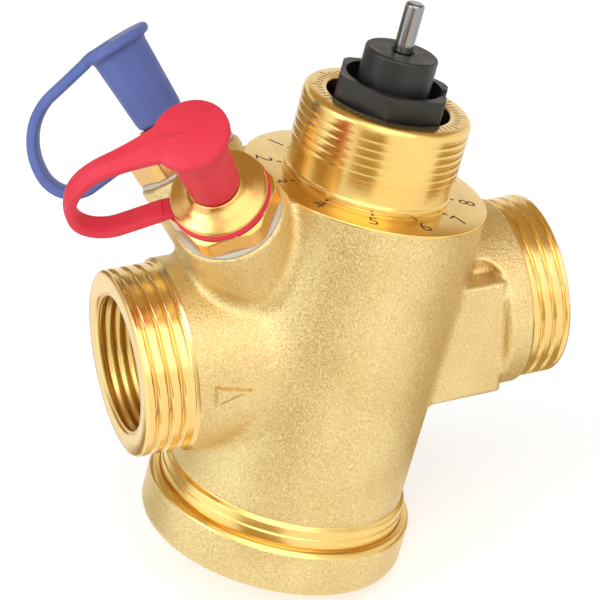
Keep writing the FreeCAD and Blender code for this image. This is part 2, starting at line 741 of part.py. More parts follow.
def make_plug():
    flat = PLUG_FLATS / 2
    corner = PLUG_FLATS / math.sqrt(3) - PLUG_CORNER_TURNING
    slope = (corner - flat) / math.sqrt(3)
    core_floor = NIPPLE_TOP - CORE_LENGTH
    middle = (WASHER_THICKNESS + HEX_TOP) / 2
    turned_hex = turned([
        (0, WASHER_THICKNESS),
        (flat, WASHER_THICKNESS),
        (corner, WASHER_THICKNESS + slope),
        (corner, HEX_TOP - slope),
        (flat, HEX_TOP),
        (0, HEX_TOP),
    ])
    stalk = turned([
        (0, -PLUG_SHANK_LENGTH),
        (PLUG_SHANK_RADIUS, -PLUG_SHANK_LENGTH),
        (PLUG_SHANK_RADIUS, middle),
        (GROOVE_RADIUS, middle),
        (GROOVE_RADIUS, FLANGE_BOTTOM),
        (FLANGE_RADIUS, FLANGE_BOTTOM),
        (FLANGE_RADIUS, FLANGE_TOP - FLANGE_HEIGHT / 3),
        (FLANGE_RADIUS - FLANGE_HEIGHT / 2, FLANGE_TOP),
        (LIP_RADIUS, CONE_TOP),
        (LIP_RADIUS, LIP_TOP),
        (NIPPLE_RADIUS, LIP_TOP),
        (NIPPLE_RADIUS, NIPPLE_TOP),
        (0, NIPPLE_TOP),
    ])
    plug = hexagon(PLUG_FLATS, WASHER_THICKNESS, HEX_TOP, PLUG_HEX_TURN).common(turned_hex).fuse(stalk)
    plug = plug.cut(rod(CORE_RADIUS, core_floor, NIPPLE_TOP))
    return plug.cut(rod(TAPPING_RADIUS, -PLUG_SHANK_LENGTH, core_floor)).removeSplitter()


def make_washer():
    return tube(WASHER_RADIUS, PLUG_SHANK_RADIUS + RUNNING, 0, WASHER_THICKNESS)


def make_core():
    return rod(CORE_RADIUS - RUNNING, NIPPLE_TOP - CORE_LENGTH, NIPPLE_TOP - LOOSE)


# Moulded cap, strap and ring, built along Z from the boss's face with the strap towards +X

def strap_side(offset):
    """Edges of one side of the strap, from the cap's disc round the loop to the ring's tongue."""
    droop = math.radians(STRAP_DROOP)
    rise = math.radians(STRAP_RISE)
    start_radius = DISC_RADIUS - DISC_HEIGHT
    start_height = DISC_FOOT + STRAP_START
    run = (STRAP_REACH - STRAP_TOP_BEND * (1 - math.sin(droop)) - start_radius) / math.cos(droop)
    bend_height = start_height - run * math.sin(droop) - STRAP_TOP_BEND * math.cos(droop)
    drop = bend_height + math.tan(rise) * (STRAP_REACH - TONGUE_REACH) - RING_LEVEL
    low_bend = drop / (math.cos(rise) + math.tan(rise) * (1 + math.sin(rise)))

    def on_arc(centre, radius, degrees):
        angle = math.radians(degrees)
        return Vector(centre + (radius + offset) * math.cos(angle), 0,
                      bend_height + (radius + offset) * math.sin(angle))

    top_centre = STRAP_REACH - STRAP_TOP_BEND
    low_centre = STRAP_REACH - low_bend
    start = Vector(start_radius + offset * math.sin(droop), 0, start_height + offset * math.cos(droop))
    top = on_arc(top_centre, STRAP_TOP_BEND, 90 - STRAP_DROOP)
    shoulder = on_arc(top_centre, STRAP_TOP_BEND, (90 - STRAP_DROOP) / 2)
    outermost = on_arc(low_centre, low_bend, 0)
    heel = on_arc(low_centre, low_bend, -(90 + STRAP_RISE) / 2)
    bottom = on_arc(low_centre, low_bend, -90 - STRAP_RISE)
    end = Vector(TONGUE_REACH - offset * math.sin(rise), 0, RING_LEVEL - offset * math.cos(rise))
    return [
        Part.makeLine(start, top),
        Part.Arc(top, shoulder, outermost).toShape(),
        Part.Arc(outermost, heel, bottom).toShape(),
        Part.makeLine(bottom, end),
    ]


def make_strap():
    outside = strap_side(STRAP_THICKNESS / 2)
    inside = strap_side(-STRAP_THICKNESS / 2)
    start = Part.makeLine(inside[0].Vertexes[0].Point, outside[0].Vertexes[0].Point)
    end = Part.makeLine(outside[-1].Vertexes[-1].Point, inside[-1].Vertexes[-1].Point)
    outline = Part.Wire(Part.__sortEdges__(outside + inside + [start, end]))
    strap = Part.Face(outline).extrude(Vector(0, STRAP_WIDTH, 0))
    strap.translate(Vector(0, -STRAP_WIDTH / 2, 0))
    return strap


def make_moulded_cap(side):
    bore = NIPPLE_RADIUS + SOFT
    ceiling = NIPPLE_TOP + LOOSE
    disc_top = DISC_FOOT + DISC_HEIGHT
    head = turned([
        (bore, SKIRT_FOOT),
        (SKIRT_FOOT_RADIUS - CAP_EDGE_ROUND, SKIRT_FOOT),
        (SKIRT_FOOT_RADIUS, SKIRT_FOOT + 2 * CAP_EDGE_ROUND),
        (SKIRT_TOP_RADIUS, DISC_FOOT),
        (DISC_RADIUS, DISC_FOOT),
        (DISC_RADIUS, disc_top),
        (0, disc_top),
        (0, ceiling),
        (bore, ceiling),
    ])
    rim = [e for e in head.Edges if e.BoundBox.ZMin > disc_top - CAP_EDGE_ROUND and e.BoundBox.XMax > bore]
    head = head.makeFillet(CAP_EDGE_ROUND, rim)
    ring_half = GROOVE_HEIGHT / 2 - SOFT
    ring_foot = RING_LEVEL - ring_half
    inner = GROOVE_RADIUS + SOFT
    ring = tube(inner + RING_WIDTH, inner, ring_foot, RING_LEVEL + ring_half)
    tongue = Part.makeBox(TONGUE_REACH, STRAP_WIDTH, 2 * ring_half, Vector(0, -STRAP_WIDTH / 2, ring_foot))
    tongue = tongue.cut(rod(inner + RING_WIDTH / 2, ring_foot, RING_LEVEL + ring_half))
    cap = head.multiFuse([make_strap(), tongue, ring]).removeSplitter()
    cap.rotate(ORIGIN, Z_AXIS, STRAP_TURNS[side])
    return cap


def pieces():
    """Every piece in its place, by name."""
    on_axis = {
        "bottom_cap": make_bottom_cap(),
        "diaphragm": make_diaphragm(),
        "diaphragm_plate": make_diaphragm_plate(),
        "piston_nut": make_piston_nut(),
        "regulator_piston": make_regulator_piston(),
        "regulator_guide": make_regulator_guide(),
        "regulator_spring": make_regulator_spring(),
        "bonnet": make_bonnet(),
        "bonnet_seal": make_bonnet_seal(),
        "hub_seal": make_hub_seal(),
        "bonnet_ring": make_bonnet_ring(),
        "preset_sleeve": make_preset_sleeve(),
        "preset_nut": make_preset_nut(),
        "gland": make_gland(),
        "stem": make_stem(),
        "stem_seal": make_stem_seal(),
        "stem_clip": make_stem_clip(),
        "stem_spring": make_stem_spring(),
        "valve_disc": make_valve_disc(),
        "disc_seal": make_disc_seal(),
    }
    placed = {"body": make_body()}
    for name, shape in on_axis.items():
        placed[name] = on_valve_axis(shape)
    for side in SIDES:
        placed[side + "_plug"] = on_plug_axis(make_plug(), side)
        placed[side + "_washer"] = on_plug_axis(make_washer(), side)
        placed[side + "_core"] = on_plug_axis(make_core(), side)
        placed[side + "_cap"] = on_plug_axis(make_moulded_cap(side), side)
    return placed


os.makedirs("parts", exist_ok=True)
for name, shape in pieces().items():
    shape.exportStep("parts/" + name + ".step")
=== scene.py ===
import math

import bmesh
import bpy
import numpy as np
from mathutils import Matrix, Vector


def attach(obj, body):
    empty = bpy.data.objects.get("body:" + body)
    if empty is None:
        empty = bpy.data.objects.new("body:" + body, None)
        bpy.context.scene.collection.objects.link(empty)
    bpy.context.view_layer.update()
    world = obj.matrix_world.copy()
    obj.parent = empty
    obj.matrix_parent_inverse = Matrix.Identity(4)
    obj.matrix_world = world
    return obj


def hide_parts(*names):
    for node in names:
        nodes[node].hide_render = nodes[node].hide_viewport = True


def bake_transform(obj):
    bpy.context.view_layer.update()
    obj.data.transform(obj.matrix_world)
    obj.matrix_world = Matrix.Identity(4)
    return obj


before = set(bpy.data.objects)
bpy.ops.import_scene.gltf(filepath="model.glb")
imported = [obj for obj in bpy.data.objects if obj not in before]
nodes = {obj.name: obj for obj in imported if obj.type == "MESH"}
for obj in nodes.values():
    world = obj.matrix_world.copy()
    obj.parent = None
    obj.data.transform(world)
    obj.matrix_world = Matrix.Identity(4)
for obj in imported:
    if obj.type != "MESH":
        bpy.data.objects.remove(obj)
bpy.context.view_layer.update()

# Body casting: hot-formed brass with a shot-blasted skin, all one piece. A barrel leans 15 degrees over the
# pipe, with a barrel for each port, a squared block under the outlet and two bosses for the test plugs.
# The skin is worked out as one rounded surface, so every joint of the casting gets its fillet.
MM = 0.001
AXIS_LEAN = math.radians(15.0)
VALVE = Matrix.Rotation(AXIS_LEAN, 4, "Y")
VALVE_AXIS = VALVE.to_3x3() @ Vector((0, 0, 1))
BARREL_RADIUS = 22.0
SHOULDER = 28.1
BAND_TOP = -29.85
PORT_RADIUS = 17.22
INLET_CAST_END = 30.1
OUTLET_CAST_END = 32.9
BLOCK_LOW = np.array([-10.0, -15.0, -12.5])
BLOCK_HIGH = np.array([28.3, 15.0, 10.3])
BLOCK_ROOT = np.array([3.0, 0.0, 0.0])
BLOCK_SUNK = 1.0
BLOCK_ROUND = 0.9
POCKET_END = 28.3
POCKET_TOP = 12.8
POCKET_FLOOR = -10.7
POCKET_INSET = 10.0
POCKET_ROUND = 3.5
BOSS_RADIUS = 9.7
BOSS_LENGTH = 25.0
BOSS_EDGE = 0.7
PLUG_LEAN = math.radians(-45.8)
PLUG_SPREAD = math.radians(-33.6)
PLUG_SPOT = (-29.4, 9.88, 24.64)
INLET_FILLET = 2.2
OUTLET_FILLET = 1.2
BOSS_FILLET = 2.2
BLOCK_FILLET = 1.1
FACING_RADIUS = 22.6
FACING_EDGE = 0.35
CAST_MESH = 0.55
CAST_LOW = (-36.0, -25.0, -42.0)
CAST_HIGH = (37.0, 25.0, 38.0)
CAST_ROUNDS = 7
EDGE_BEND = math.radians(10.0)
EDGE_SPLITS = 2
EDGE_ROUNDS = 3
LEAST_SLOPE = 0.25
SPARE = 2.5


def plug_frame(sign):
    """Frame of a test plug, with +Z out of its boss and zero at the boss's face, in millimetres."""
    back, out, up = PLUG_SPOT
    lean = Matrix.Rotation(PLUG_LEAN, 4, "Y")
    spread = Matrix.Rotation(PLUG_SPREAD * sign, 4, "Z")
    return VALVE @ Matrix.Translation((back, out * sign, up)) @ spread @ lean


PLUGS = {"red": plug_frame(-1), "blue": plug_frame(1)}


def in_frame(points, matrix):
    """Points of the part's frame, as seen from another frame."""
    back = np.array(matrix.inverted())
    return points @ back[:3, :3].T + back[:3, 3]


def rounded_union(a, b, radius):
    """What is inside a or b, with a fillet between them."""
    hollow = np.hypot(np.maximum(radius - a, 0), np.maximum(radius - b, 0))
    return np.maximum(radius, np.minimum(a, b)) - hollow


def rounded_cut(a, b, radius):
    """What is inside both a and b, with a rounded edge."""
    edge = np.hypot(np.maximum(radius + a, 0), np.maximum(radius + b, 0))
    return np.minimum(-radius, np.maximum(a, b)) + edge


def rounded_corner(over, radius):
    """Distance from a corner whose sides are passed by the given amounts."""
    over = over + radius
    return np.linalg.norm(np.maximum(over, 0), axis=1) + np.minimum(over.max(1), 0) - radius


def box_distance(points, low, high):
    """Distance from a box with rounded edges."""
    return rounded_corner(np.abs(points - (low + high) / 2) - (high - low) / 2, BLOCK_ROUND)


def casting_distance(points):
    """Distance of points from the skin of the casting, below zero inside it."""
    x, y, z = points.T
    leaning = in_frame(points, VALVE)
    height = leaning[:, 2]
    out = np.hypot(leaning[:, 0], leaning[:, 1])
    barrel = np.maximum(out - BARREL_RADIUS, np.maximum(height - SHOULDER, BAND_TOP - SPARE - height))
    around = np.hypot(y, z) - PORT_RADIUS
    inlet = np.maximum(around, np.maximum(x, -x - INLET_CAST_END - SPARE))
    outlet = np.maximum(around, np.maximum(-x, x - OUTLET_CAST_END - SPARE))
    arch = rounded_corner(np.stack([x - POCKET_END, z - POCKET_TOP], 1), POCKET_ROUND)
    pocket = np.maximum(np.maximum(arch, POCKET_FLOOR - z), POCKET_INSET - np.abs(y))
    outlet = rounded_cut(outlet, -pocket, BLOCK_FILLET)
    rooted = np.maximum(box_distance(points, BLOCK_LOW, BLOCK_HIGH + BLOCK_ROOT), around + BLOCK_SUNK)
    block = np.minimum(box_distance(points, BLOCK_LOW, BLOCK_HIGH), rooted)
    casting = rounded_union(barrel, inlet, INLET_FILLET)
    casting = rounded_union(casting, outlet, OUTLET_FILLET)
    casting = rounded_union(casting, block, BLOCK_FILLET)
    for matrix in PLUGS.values():
        set_in = in_frame(points, matrix)
        wall = np.maximum(np.hypot(set_in[:, 0], set_in[:, 1]) - BOSS_RADIUS, -BOSS_LENGTH - set_in[:, 2])
        casting = rounded_union(casting, rounded_cut(wall, set_in[:, 2], BOSS_EDGE), BOSS_FILLET)
    facing = np.maximum(out - FACING_RADIUS, SHOULDER - height)
    return rounded_cut(casting, -facing, FACING_EDGE)


def linked(name, data):
    """Object in the scene from mesh or curve data."""
    obj = bpy.data.objects.new(name, data)
    bpy.context.scene.collection.objects.link(obj)
    return obj


def shown(name, data, material, body="valve", sharp=34):
    """Piece in the scene that rides on a body, or on none yet; its mesh is given in millimetres."""
    data.transform(Matrix.Diagonal((MM, MM, MM, 1)))
    data.polygons.foreach_set("use_smooth", [True] * len(data.polygons))
    data.set_sharp_from_angle(angle=math.radians(sharp))
    data.materials.append(material)
    data.name = name
    obj = linked(name, data)
    if body:
        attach(obj, body)
    return obj


def slope_of_casting(points, step=0.01):
    """Way in which the distance from the casting grows fastest."""
    ahead = [casting_distance(points + way) for way in np.eye(3) * step]
    behind = [casting_distance(points - way) for way in np.eye(3) * step]
    return (np.array(ahead) - np.array(behind)).T / (2 * step)


def on_to_casting(mesh, rounds):
    """Draw the corners of an editable mesh on to the casting's surface."""
    points = np.array([v.co for v in mesh.verts])
    for _ in range(rounds):
        slope = slope_of_casting(points)
        steep = np.maximum((slope ** 2).sum(1), LEAST_SLOPE)
        points = points - slope * (casting_distance(points) / steep)[:, None]
    for v, point in zip(mesh.verts, points):
        v.co = point
    mesh.normal_update()


def cells_on_casting():
    """Middles of a grid's cells that the casting's surface passes through, and the faces between them."""
    sides = [np.arange(low, high, CAST_MESH) for low, high in zip(CAST_LOW, CAST_HIGH)]
    grid = np.stack(np.meshgrid(*sides, indexing="ij"), 3)
    inside = casting_distance(grid.reshape(-1, 3)).reshape(grid.shape[:3]) < 0
    shape = np.array(inside.shape) - 1
    filled = np.zeros(shape, int)
    for corner in np.ndindex(2, 2, 2):
        filled += inside[tuple(slice(first, first + size) for first, size in zip(corner, shape))]
    passed = (filled > 0) & (filled < 8)
    number = np.full(shape, -1)
    number[passed] = np.arange(passed.sum())
    points = grid[:-1, :-1, :-1][passed] + CAST_MESH / 2
    steps = np.eye(3, dtype=int)
    faces = []
    for axis, (right, up) in enumerate(((1, 2), (2, 0), (0, 1))):
        first = np.delete(inside, -1, axis)
        crossing = np.argwhere(first != np.delete(inside, 0, axis))
        leaving = first[tuple(crossing.T)]
        around = [crossing - step for step in (0, steps[right], steps[right] + steps[up], steps[up])]
        quads = np.stack([number[tuple(cell.T)] for cell in around], 1)
        faces += np.where(leaving[:, None], quads, quads[:, ::-1]).tolist()
    return points, faces


def skin_of_casting():
    """Casting's skin, finer at its edges and cut off at the turned ends, with the way that it faces."""
    points, faces = cells_on_casting()
    skin = bpy.data.meshes.new("skin")
    skin.from_pydata(points.tolist(), [], faces)
    whole = bmesh.new()
    whole.from_mesh(skin)
    on_to_casting(whole, CAST_ROUNDS)
    for _ in range(EDGE_SPLITS):
        bent = [e for e in whole.edges if e.is_manifold and e.calc_face_angle() > EDGE_BEND]
        bmesh.ops.subdivide_edges(whole, edges=bent, cuts=1, use_grid_fill=True)
        bmesh.ops.triangulate(whole, faces=[f for f in whole.faces if len(f.verts) > 4])
        on_to_casting(whole, EDGE_ROUNDS)
    pipe = Vector((1, 0, 0))
    for spot, outward, width in ((VALVE_AXIS * BAND_TOP, -VALVE_AXIS, math.inf),
                                 (pipe * OUTLET_CAST_END, pipe, PORT_RADIUS + 1),
                                 (pipe * -INLET_CAST_END, -pipe, PORT_RADIUS + 1)):
        near = [f for f in whole.faces if f.calc_center_median().yz.length < width]
        geom = list({v for f in near for v in f.verts}) + list({e for f in near for e in f.edges}) + near
        bmesh.ops.bisect_plane(whole, geom=geom, plane_co=spot, plane_no=outward, clear_outer=True)
    whole.to_mesh(skin)
    slope = slope_of_casting(np.array([v.co for v in whole.verts]))
    whole.free()
    return skin, slope / np.maximum(np.linalg.norm(slope, axis=1), 0.01)[:, None]


def node_group(name, inputs, outputs):
    """Empty shader group with named sockets, what it is given, its results and the place on the object."""
    group = bpy.data.node_groups.new(name, "ShaderNodeTree")
    for socket, kind, value in inputs:
        made = group.interface.new_socket(name=socket, in_out="INPUT", socket_type=kind)
        made.default_value = value
    for socket in outputs:
        group.interface.new_socket(name=socket, in_out="OUTPUT", socket_type="NodeSocketFloat")
    place = group.nodes.new("ShaderNodeTexCoord").outputs["Object"]
    given = group.nodes.new("NodeGroupInput").outputs
    results = group.nodes.new("NodeGroupOutput").inputs
    return group, given, results, place


def noise(tree, place, scale, detail=3.0):
    """Noise over a place; the scale is a number or a socket."""
    texture = tree.nodes.new("ShaderNodeTexNoise")
    texture.inputs["Detail"].default_value = detail
    tree.links.new(place, texture.inputs["Vector"])
    if isinstance(scale, float):
        texture.inputs["Scale"].default_value = scale
    else:
        tree.links.new(scale, texture.inputs["Scale"])
    return texture.outputs["Fac"]


def ranged(tree, value, low, high, start=0.3, end=0.7):
    """Value spread from one range to another."""
    node = tree.nodes.new("ShaderNodeMapRange")
    for socket, amount in zip(("From Min", "From Max", "To Min", "To Max"), (start, end, low, high)):
        node.inputs[socket].default_value = amount
    tree.links.new(value, node.inputs["Value"])
    return node.outputs["Result"]


def tinted(tree, factor, first, second):
    """Colour between two, by a factor."""
    node = tree.nodes.new("ShaderNodeMix")
    node.data_type = "RGBA"
    node.inputs["A"].default_value = (*first, 1)
    node.inputs["B"].default_value = (*second, 1)
    tree.links.new(factor, node.inputs["Factor"])
    return node.outputs["Result"]


def finish(name, group, values, colours, matt, bump, **plain_values):
    """Material whose colour, shine and fine relief come from a group's Tone, Shine and Height."""
    material = bpy.data.materials.new(name)
    material.use_nodes = True
    tree = material.node_tree
    shader = tree.nodes["Principled BSDF"]
    for socket, value in plain_values.items():
        shader.inputs[socket.replace("_", " ")].default_value = value
    effect = tree.nodes.new("ShaderNodeGroup")
    effect.node_tree = group
    for socket, value in values.items():
        effect.inputs[socket].default_value = value
    strength, depth = bump
    relief = tree.nodes.new("ShaderNodeBump")
    relief.inputs["Strength"].default_value = strength
    relief.inputs["Distance"].default_value = depth * MM
    tone = ranged(tree, effect.outputs["Tone"], 0.0, 1.0)
    tree.links.new(tinted(tree, tone, *colours), shader.inputs["Base Color"])
    tree.links.new(ranged(tree, effect.outputs["Shine"], *matt), shader.inputs["Roughness"])
    tree.links.new(effect.outputs["Height"], relief.inputs["Height"])
    tree.links.new(relief.outputs["Normal"], shader.inputs["Normal"])
    return material


BLAST_GRAINS = 3200.0
BLAST_DENTS = 1900.0
DENT_SHARE = 0.5
STAINS = 110.0
STAIN_SHARE = 0.35
GRAIN_SHARE = 0.65
BLAST_RELIEF = (0.9, 0.10)
grain, grain_in, grain_out, grain_place = node_group(
    "blasted grain", [("Grains per metre", "NodeSocketFloat", BLAST_GRAINS)], ("Height", "Shine", "Tone"))
fine = noise(grain, grain_place, grain_in["Grains per metre"], detail=2.0)
dents = grain.nodes.new("ShaderNodeTexVoronoi")
dents.inputs["Scale"].default_value = BLAST_DENTS
grain.links.new(grain_place, dents.inputs["Vector"])
both = grain.nodes.new("ShaderNodeMath")
both.operation = "MULTIPLY_ADD"
both.inputs[1].default_value = DENT_SHARE
grain.links.new(dents.outputs["Distance"], both.inputs[0])
grain.links.new(fine, both.inputs[2])
grain.links.new(both.outputs[0], grain_out["Height"])
grain.links.new(fine, grain_out["Shine"])
stain = grain.nodes.new("ShaderNodeMath")
stain.operation = "MULTIPLY_ADD"
stain.inputs[1].default_value = STAIN_SHARE
grain.links.new(noise(grain, grain_place, STAINS, detail=5.0), stain.inputs[0])
grain.links.new(ranged(grain, fine, 0.0, GRAIN_SHARE, 0.2, 0.8), stain.inputs[2])
grain.links.new(stain.outputs[0], grain_out["Tone"])


def blasted(name, dark, light, matt):
    """Cast brass with a shot-blasted skin."""
    values = {"Grains per metre": BLAST_GRAINS}
    return finish(name, grain, values, (dark, light), matt, BLAST_RELIEF, Metallic=0.8)


cast_brass = blasted("blasted cast brass", (0.66, 0.45, 0.17), (0.89, 0.72, 0.36), (0.36, 0.54))
casting_skin, casting_normals = skin_of_casting()
casting = shown("body_casting", casting_skin, cast_brass, sharp=180)
casting.data.normals_split_custom_set_from_vertices(casting_normals.tolist())
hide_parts("body")

# Turned ends of the body: both ports, the neck and the band over the foot, cut bright on a lathe with their
# threads. The ports have coarse pipe threads outside and finer ones in their sockets, and the neck a fine
# metric one for the actuator's nut. A dial of ticks and plain numbers is cut round the neck; its marks stand
# nearly flush, and their dark colour is painted shade of the cuts.
ROUND = 224
FINE_ROUND = 288
TAU = 2 * math.pi
ROWS_PER_PITCH = 14
ROOT_FLAT = 0.03
SEAM = 0.02
INLET_END = 39.5
OUTLET_END = 41.0
PORT_CREST = 16.62
PORT_PITCH = 2.309
PORT_GROOVE = 0.5
PORT_FLANK = 0.2
PORT_SUNK = 0.2
PORT_CONE = 0.6
PORT_CHAMFER = 0.4
SOCKET_MOUTH = 12.95
SOCKET_CREST = 12.1
SOCKET_PITCH = 1.814
SOCKET_GROOVE = 0.5
SOCKET_FLANK = 0.45
SOCKET_LEAD = 0.5
SOCKET_DEPTH = 10.0
PASSAGE = 6.5
FLOOR_HOLE = 7.5
WAY_SIDES = 144
INLET_LEVEL = -9.5
OUTLET_LEVEL = 10.5
INLET_CHAMBER_RADIUS = 13.0
OUTLET_CHAMBER_RADIUS = 9.5
NECK_FOOT = 28.2
NECK_CREST = 15.0
NECK_PITCH = 1.5
NECK_GROOVE = 0.05
NECK_TOP = 43.5
NECK_BORE = 10.95
BONNET_TOP = 33.0


def thread_form(turns, flank):
    """Depth of a thread's groove from none to all, against turns along the screw."""
    from_root = np.abs(turns % 1.0 - 0.5)
    depth = np.clip((ROOT_FLAT + flank - from_root) / flank, 0, 1)
    return depth * depth * (3 - 2 * depth)


def threaded(radius, start, end, pitch, groove, fade=0.3):
    """Rows of a thread from one height to another, running out over a share of a pitch at both ends."""
    count = max(2, round(abs(end - start) / pitch * ROWS_PER_PITCH))
    rows = []
    for share in np.linspace(0, 1, count + 1):
        from_end = min(share, 1 - share) * abs(end - start) / pitch
        rows.append((radius, start + (end - start) * share, groove * min(1.0, from_end / fade)))
    return rows


def plain(*corners, ease=0.12):
    """Rows of a plain turned outline, with a small break on its inner corners."""
    rows = [(*corners[0], 0.0)]
    for before, corner, after in zip(corners, corners[1:], corners[2:]):
        here = np.array(corner, float)
        for other in (before, after):
            way = np.array(other, float) - here
            length = np.linalg.norm(way)
            rows.append((*(here + way / length * min(ease, 0.4 * length)), 0.0))
    return rows + [(*corners[-1], 0.0)]


def placed_mesh(points, faces, place):
    """Mesh from points and faces, put in its place."""
    data = bpy.data.meshes.new("piece")
    data.from_pydata(np.asarray(points, float).tolist(), [], [tuple(face) for face in faces])
    data.transform(place)
    return data


def tube(rows, count, closed=False):
    """Faces between rows of points that each go once round, with both ends closed if wanted."""
    ring = np.arange(count)
    after = (ring + 1) % count
    band = np.stack([ring, after, after + count, ring + count], 1)
    faces = np.concatenate([band + step * count for step in range(rows - 1)]).tolist()
    if closed:
        faces += [ring[::-1].tolist(), (ring + (rows - 1) * count).tolist()]
    return faces


def turned_mesh(rows, place, pitch=1.0, flank=0.3, segments=ROUND):
    """Skin of revolution about Z through rows of radius, height and groove depth, put in its place."""
    angles = np.arange(segments) * TAU / segments
    rows = np.array(rows)
    turns = rows[:, 1:2] / pitch - angles[None] / TAU
    radius = rows[:, :1] - rows[:, 2:] * thread_form(turns, flank)
    heights = np.repeat(rows[:, 1:2], segments, 1)
    points = np.stack([radius * np.cos(angles), radius * np.sin(angles), heights], 2).reshape(-1, 3)
    return placed_mesh(points, tube(len(rows), segments), place)


def joined(*meshes):
    """One mesh from several."""
    whole = bmesh.new()
    for data in meshes:
        whole.from_mesh(data)
    data = bpy.data.meshes.new("joined")
    whole.to_mesh(data)
    whole.free()
    return data


def port_mesh(cast_end, end, lay):
    """Port from the casting over its thread to the edge of its mouth."""
    sunk = cast_end - PORT_SUNK
    collar = PORT_RADIUS - SEAM
    thread_foot = cast_end + PORT_CONE
    thread_end = end - PORT_CHAMFER
    outside = plain((collar - 3.2, sunk), (collar, sunk), (collar, cast_end), (PORT_CREST, thread_foot),
                    (PORT_CREST, thread_foot + 0.1))
    outside += threaded(PORT_CREST, thread_foot + 0.2, thread_end - 0.1, PORT_PITCH, PORT_GROOVE)
    outside += plain((PORT_CREST, thread_end - 0.05), (PORT_CREST - PORT_CHAMFER, end), (SOCKET_MOUTH, end),
                     (SOCKET_MOUTH - PORT_CHAMFER, end - PORT_CHAMFER))
    return turned_mesh(outside, lay, PORT_PITCH, PORT_FLANK)


def way_mesh(floor, chamber, wall):
    """Drilled way from a socket's floor towards the middle of a chamber, as far as its round wall."""
    angles = np.arange(WAY_SIDES) * TAU / WAY_SIDES
    run = np.array((chamber - floor).normalized())
    across = np.cross(run, (0, 1, 0))
    around = np.outer(np.cos(angles), across) + np.outer(np.sin(angles), (0, 1, 0))
    upright = np.cos(angles) * np.sign(across[2])
    rim = np.array(floor) + FLOOR_HOLE * np.stack([0 * angles, np.sin(angles), upright], 1)
    start = np.array(floor) + PASSAGE * around
    start -= np.outer((start[:, 0] - floor.x) / run[0], run)
    along = np.array(VALVE_AXIS)
    offset = start - np.outer(start @ along, along)
    lean = run - run @ along * along
    half = offset @ lean
    reach = -half - np.sqrt(half ** 2 - lean @ lean * ((offset ** 2).sum(1) - wall ** 2))
    end = start + np.outer(reach / (lean @ lean), run)
    return placed_mesh(np.concatenate([rim, start, end]), tube(3, WAY_SIDES), Matrix())


def socket_mesh(end, chamber, wall, lay):
    """Threaded socket from a port's mouth to its floor, and the drilled way on to its chamber."""
    floor = end - SOCKET_DEPTH
    thread_start = end - SOCKET_LEAD
    thread_end = floor + SOCKET_LEAD
    inside = plain((SOCKET_MOUTH - 0.35, end - 0.35), (SOCKET_CREST, thread_start))
    inside += threaded(SOCKET_CREST, thread_start - 0.05, thread_end + 0.1, SOCKET_PITCH, -SOCKET_GROOVE,
                       fade=0.15)
    inside += plain((SOCKET_CREST, thread_end), (SOCKET_CREST, floor), (FLOOR_HOLE, floor))
    return joined(turned_mesh(inside, lay, SOCKET_PITCH, SOCKET_FLANK),
                  way_mesh(lay @ Vector((0, 0, floor)), chamber, wall))


TOOL_RINGS = 9000.0
BRIGHT_CUT = (0.20, 0.28)
CUT_MARKS = (0.6, 0.008)
SHINE_PATCHES = 220.0
TONE_PATCHES = 60.0
marks_given = [("Axis", "NodeSocketVector", (0.0, 0.0, 1.0)),
               ("Rings per metre", "NodeSocketFloat", TOOL_RINGS)]
marks, marks_in, marks_out, marks_place = node_group("tool marks", marks_given, ("Height", "Shine", "Tone"))
height = marks.nodes.new("ShaderNodeVectorMath")
height.operation = "DOT_PRODUCT"
marks.links.new(marks_place, height.inputs[0])
marks.links.new(marks_in["Axis"], height.inputs[1])
rings = marks.nodes.new("ShaderNodeTexNoise")
rings.noise_dimensions = "1D"
rings.inputs["Detail"].default_value = 0.0
marks.links.new(height.outputs["Value"], rings.inputs["W"])
marks.links.new(marks_in["Rings per metre"], rings.inputs["Scale"])
marks.links.new(rings.outputs["Fac"], marks_out["Height"])
marks.links.new(noise(marks, marks_place, SHINE_PATCHES), marks_out["Shine"])
marks.links.new(noise(marks, marks_place, TONE_PATCHES, detail=2.0), marks_out["Tone"])


def turned_brass(name, axis, dark, light, matt=BRIGHT_CUT, bump=CUT_MARKS):
    """Bright brass cut on a lathe about an axis."""
    values = {"Axis": tuple(axis), "Rings per metre": TOOL_RINGS}
    return finish(name, marks, values, (dark, light), matt, bump, Metallic=1.0)


pipe_brass = turned_brass("port brass", (1, 0, 0), (0.83, 0.57, 0.20), (0.88, 0.63, 0.25))
neck_brass = turned_brass("neck brass", VALVE_AXIS, (0.84, 0.56, 0.17), (0.89, 0.62, 0.22),
                          bump=(0.7, 0.009))
# Painted shade: the sockets' brass is darker than the ports' outside, standing for the shade inside the
# bores; it is also rougher.
socket_brass_painted_shade = turned_brass("socket brass painted darker as shade", (1, 0, 0), (0.66, 0.42, 0.12), (0.72, 0.48, 0.17),
                            matt=(0.26, 0.36))
for port, turn, cast_end, end, level, wall in (
        ("inlet", -90, INLET_CAST_END, INLET_END, INLET_LEVEL, INLET_CHAMBER_RADIUS),
        ("outlet", 90, OUTLET_CAST_END, OUTLET_END, OUTLET_LEVEL, OUTLET_CHAMBER_RADIUS)):
    lay = Matrix.Rotation(math.radians(turn), 4, "Y")
    shown(port + "_end", port_mesh(cast_end, end, lay), pipe_brass)
    shown(port + "_socket", socket_mesh(end, VALVE_AXIS * level, wall, lay), socket_brass_painted_shade)

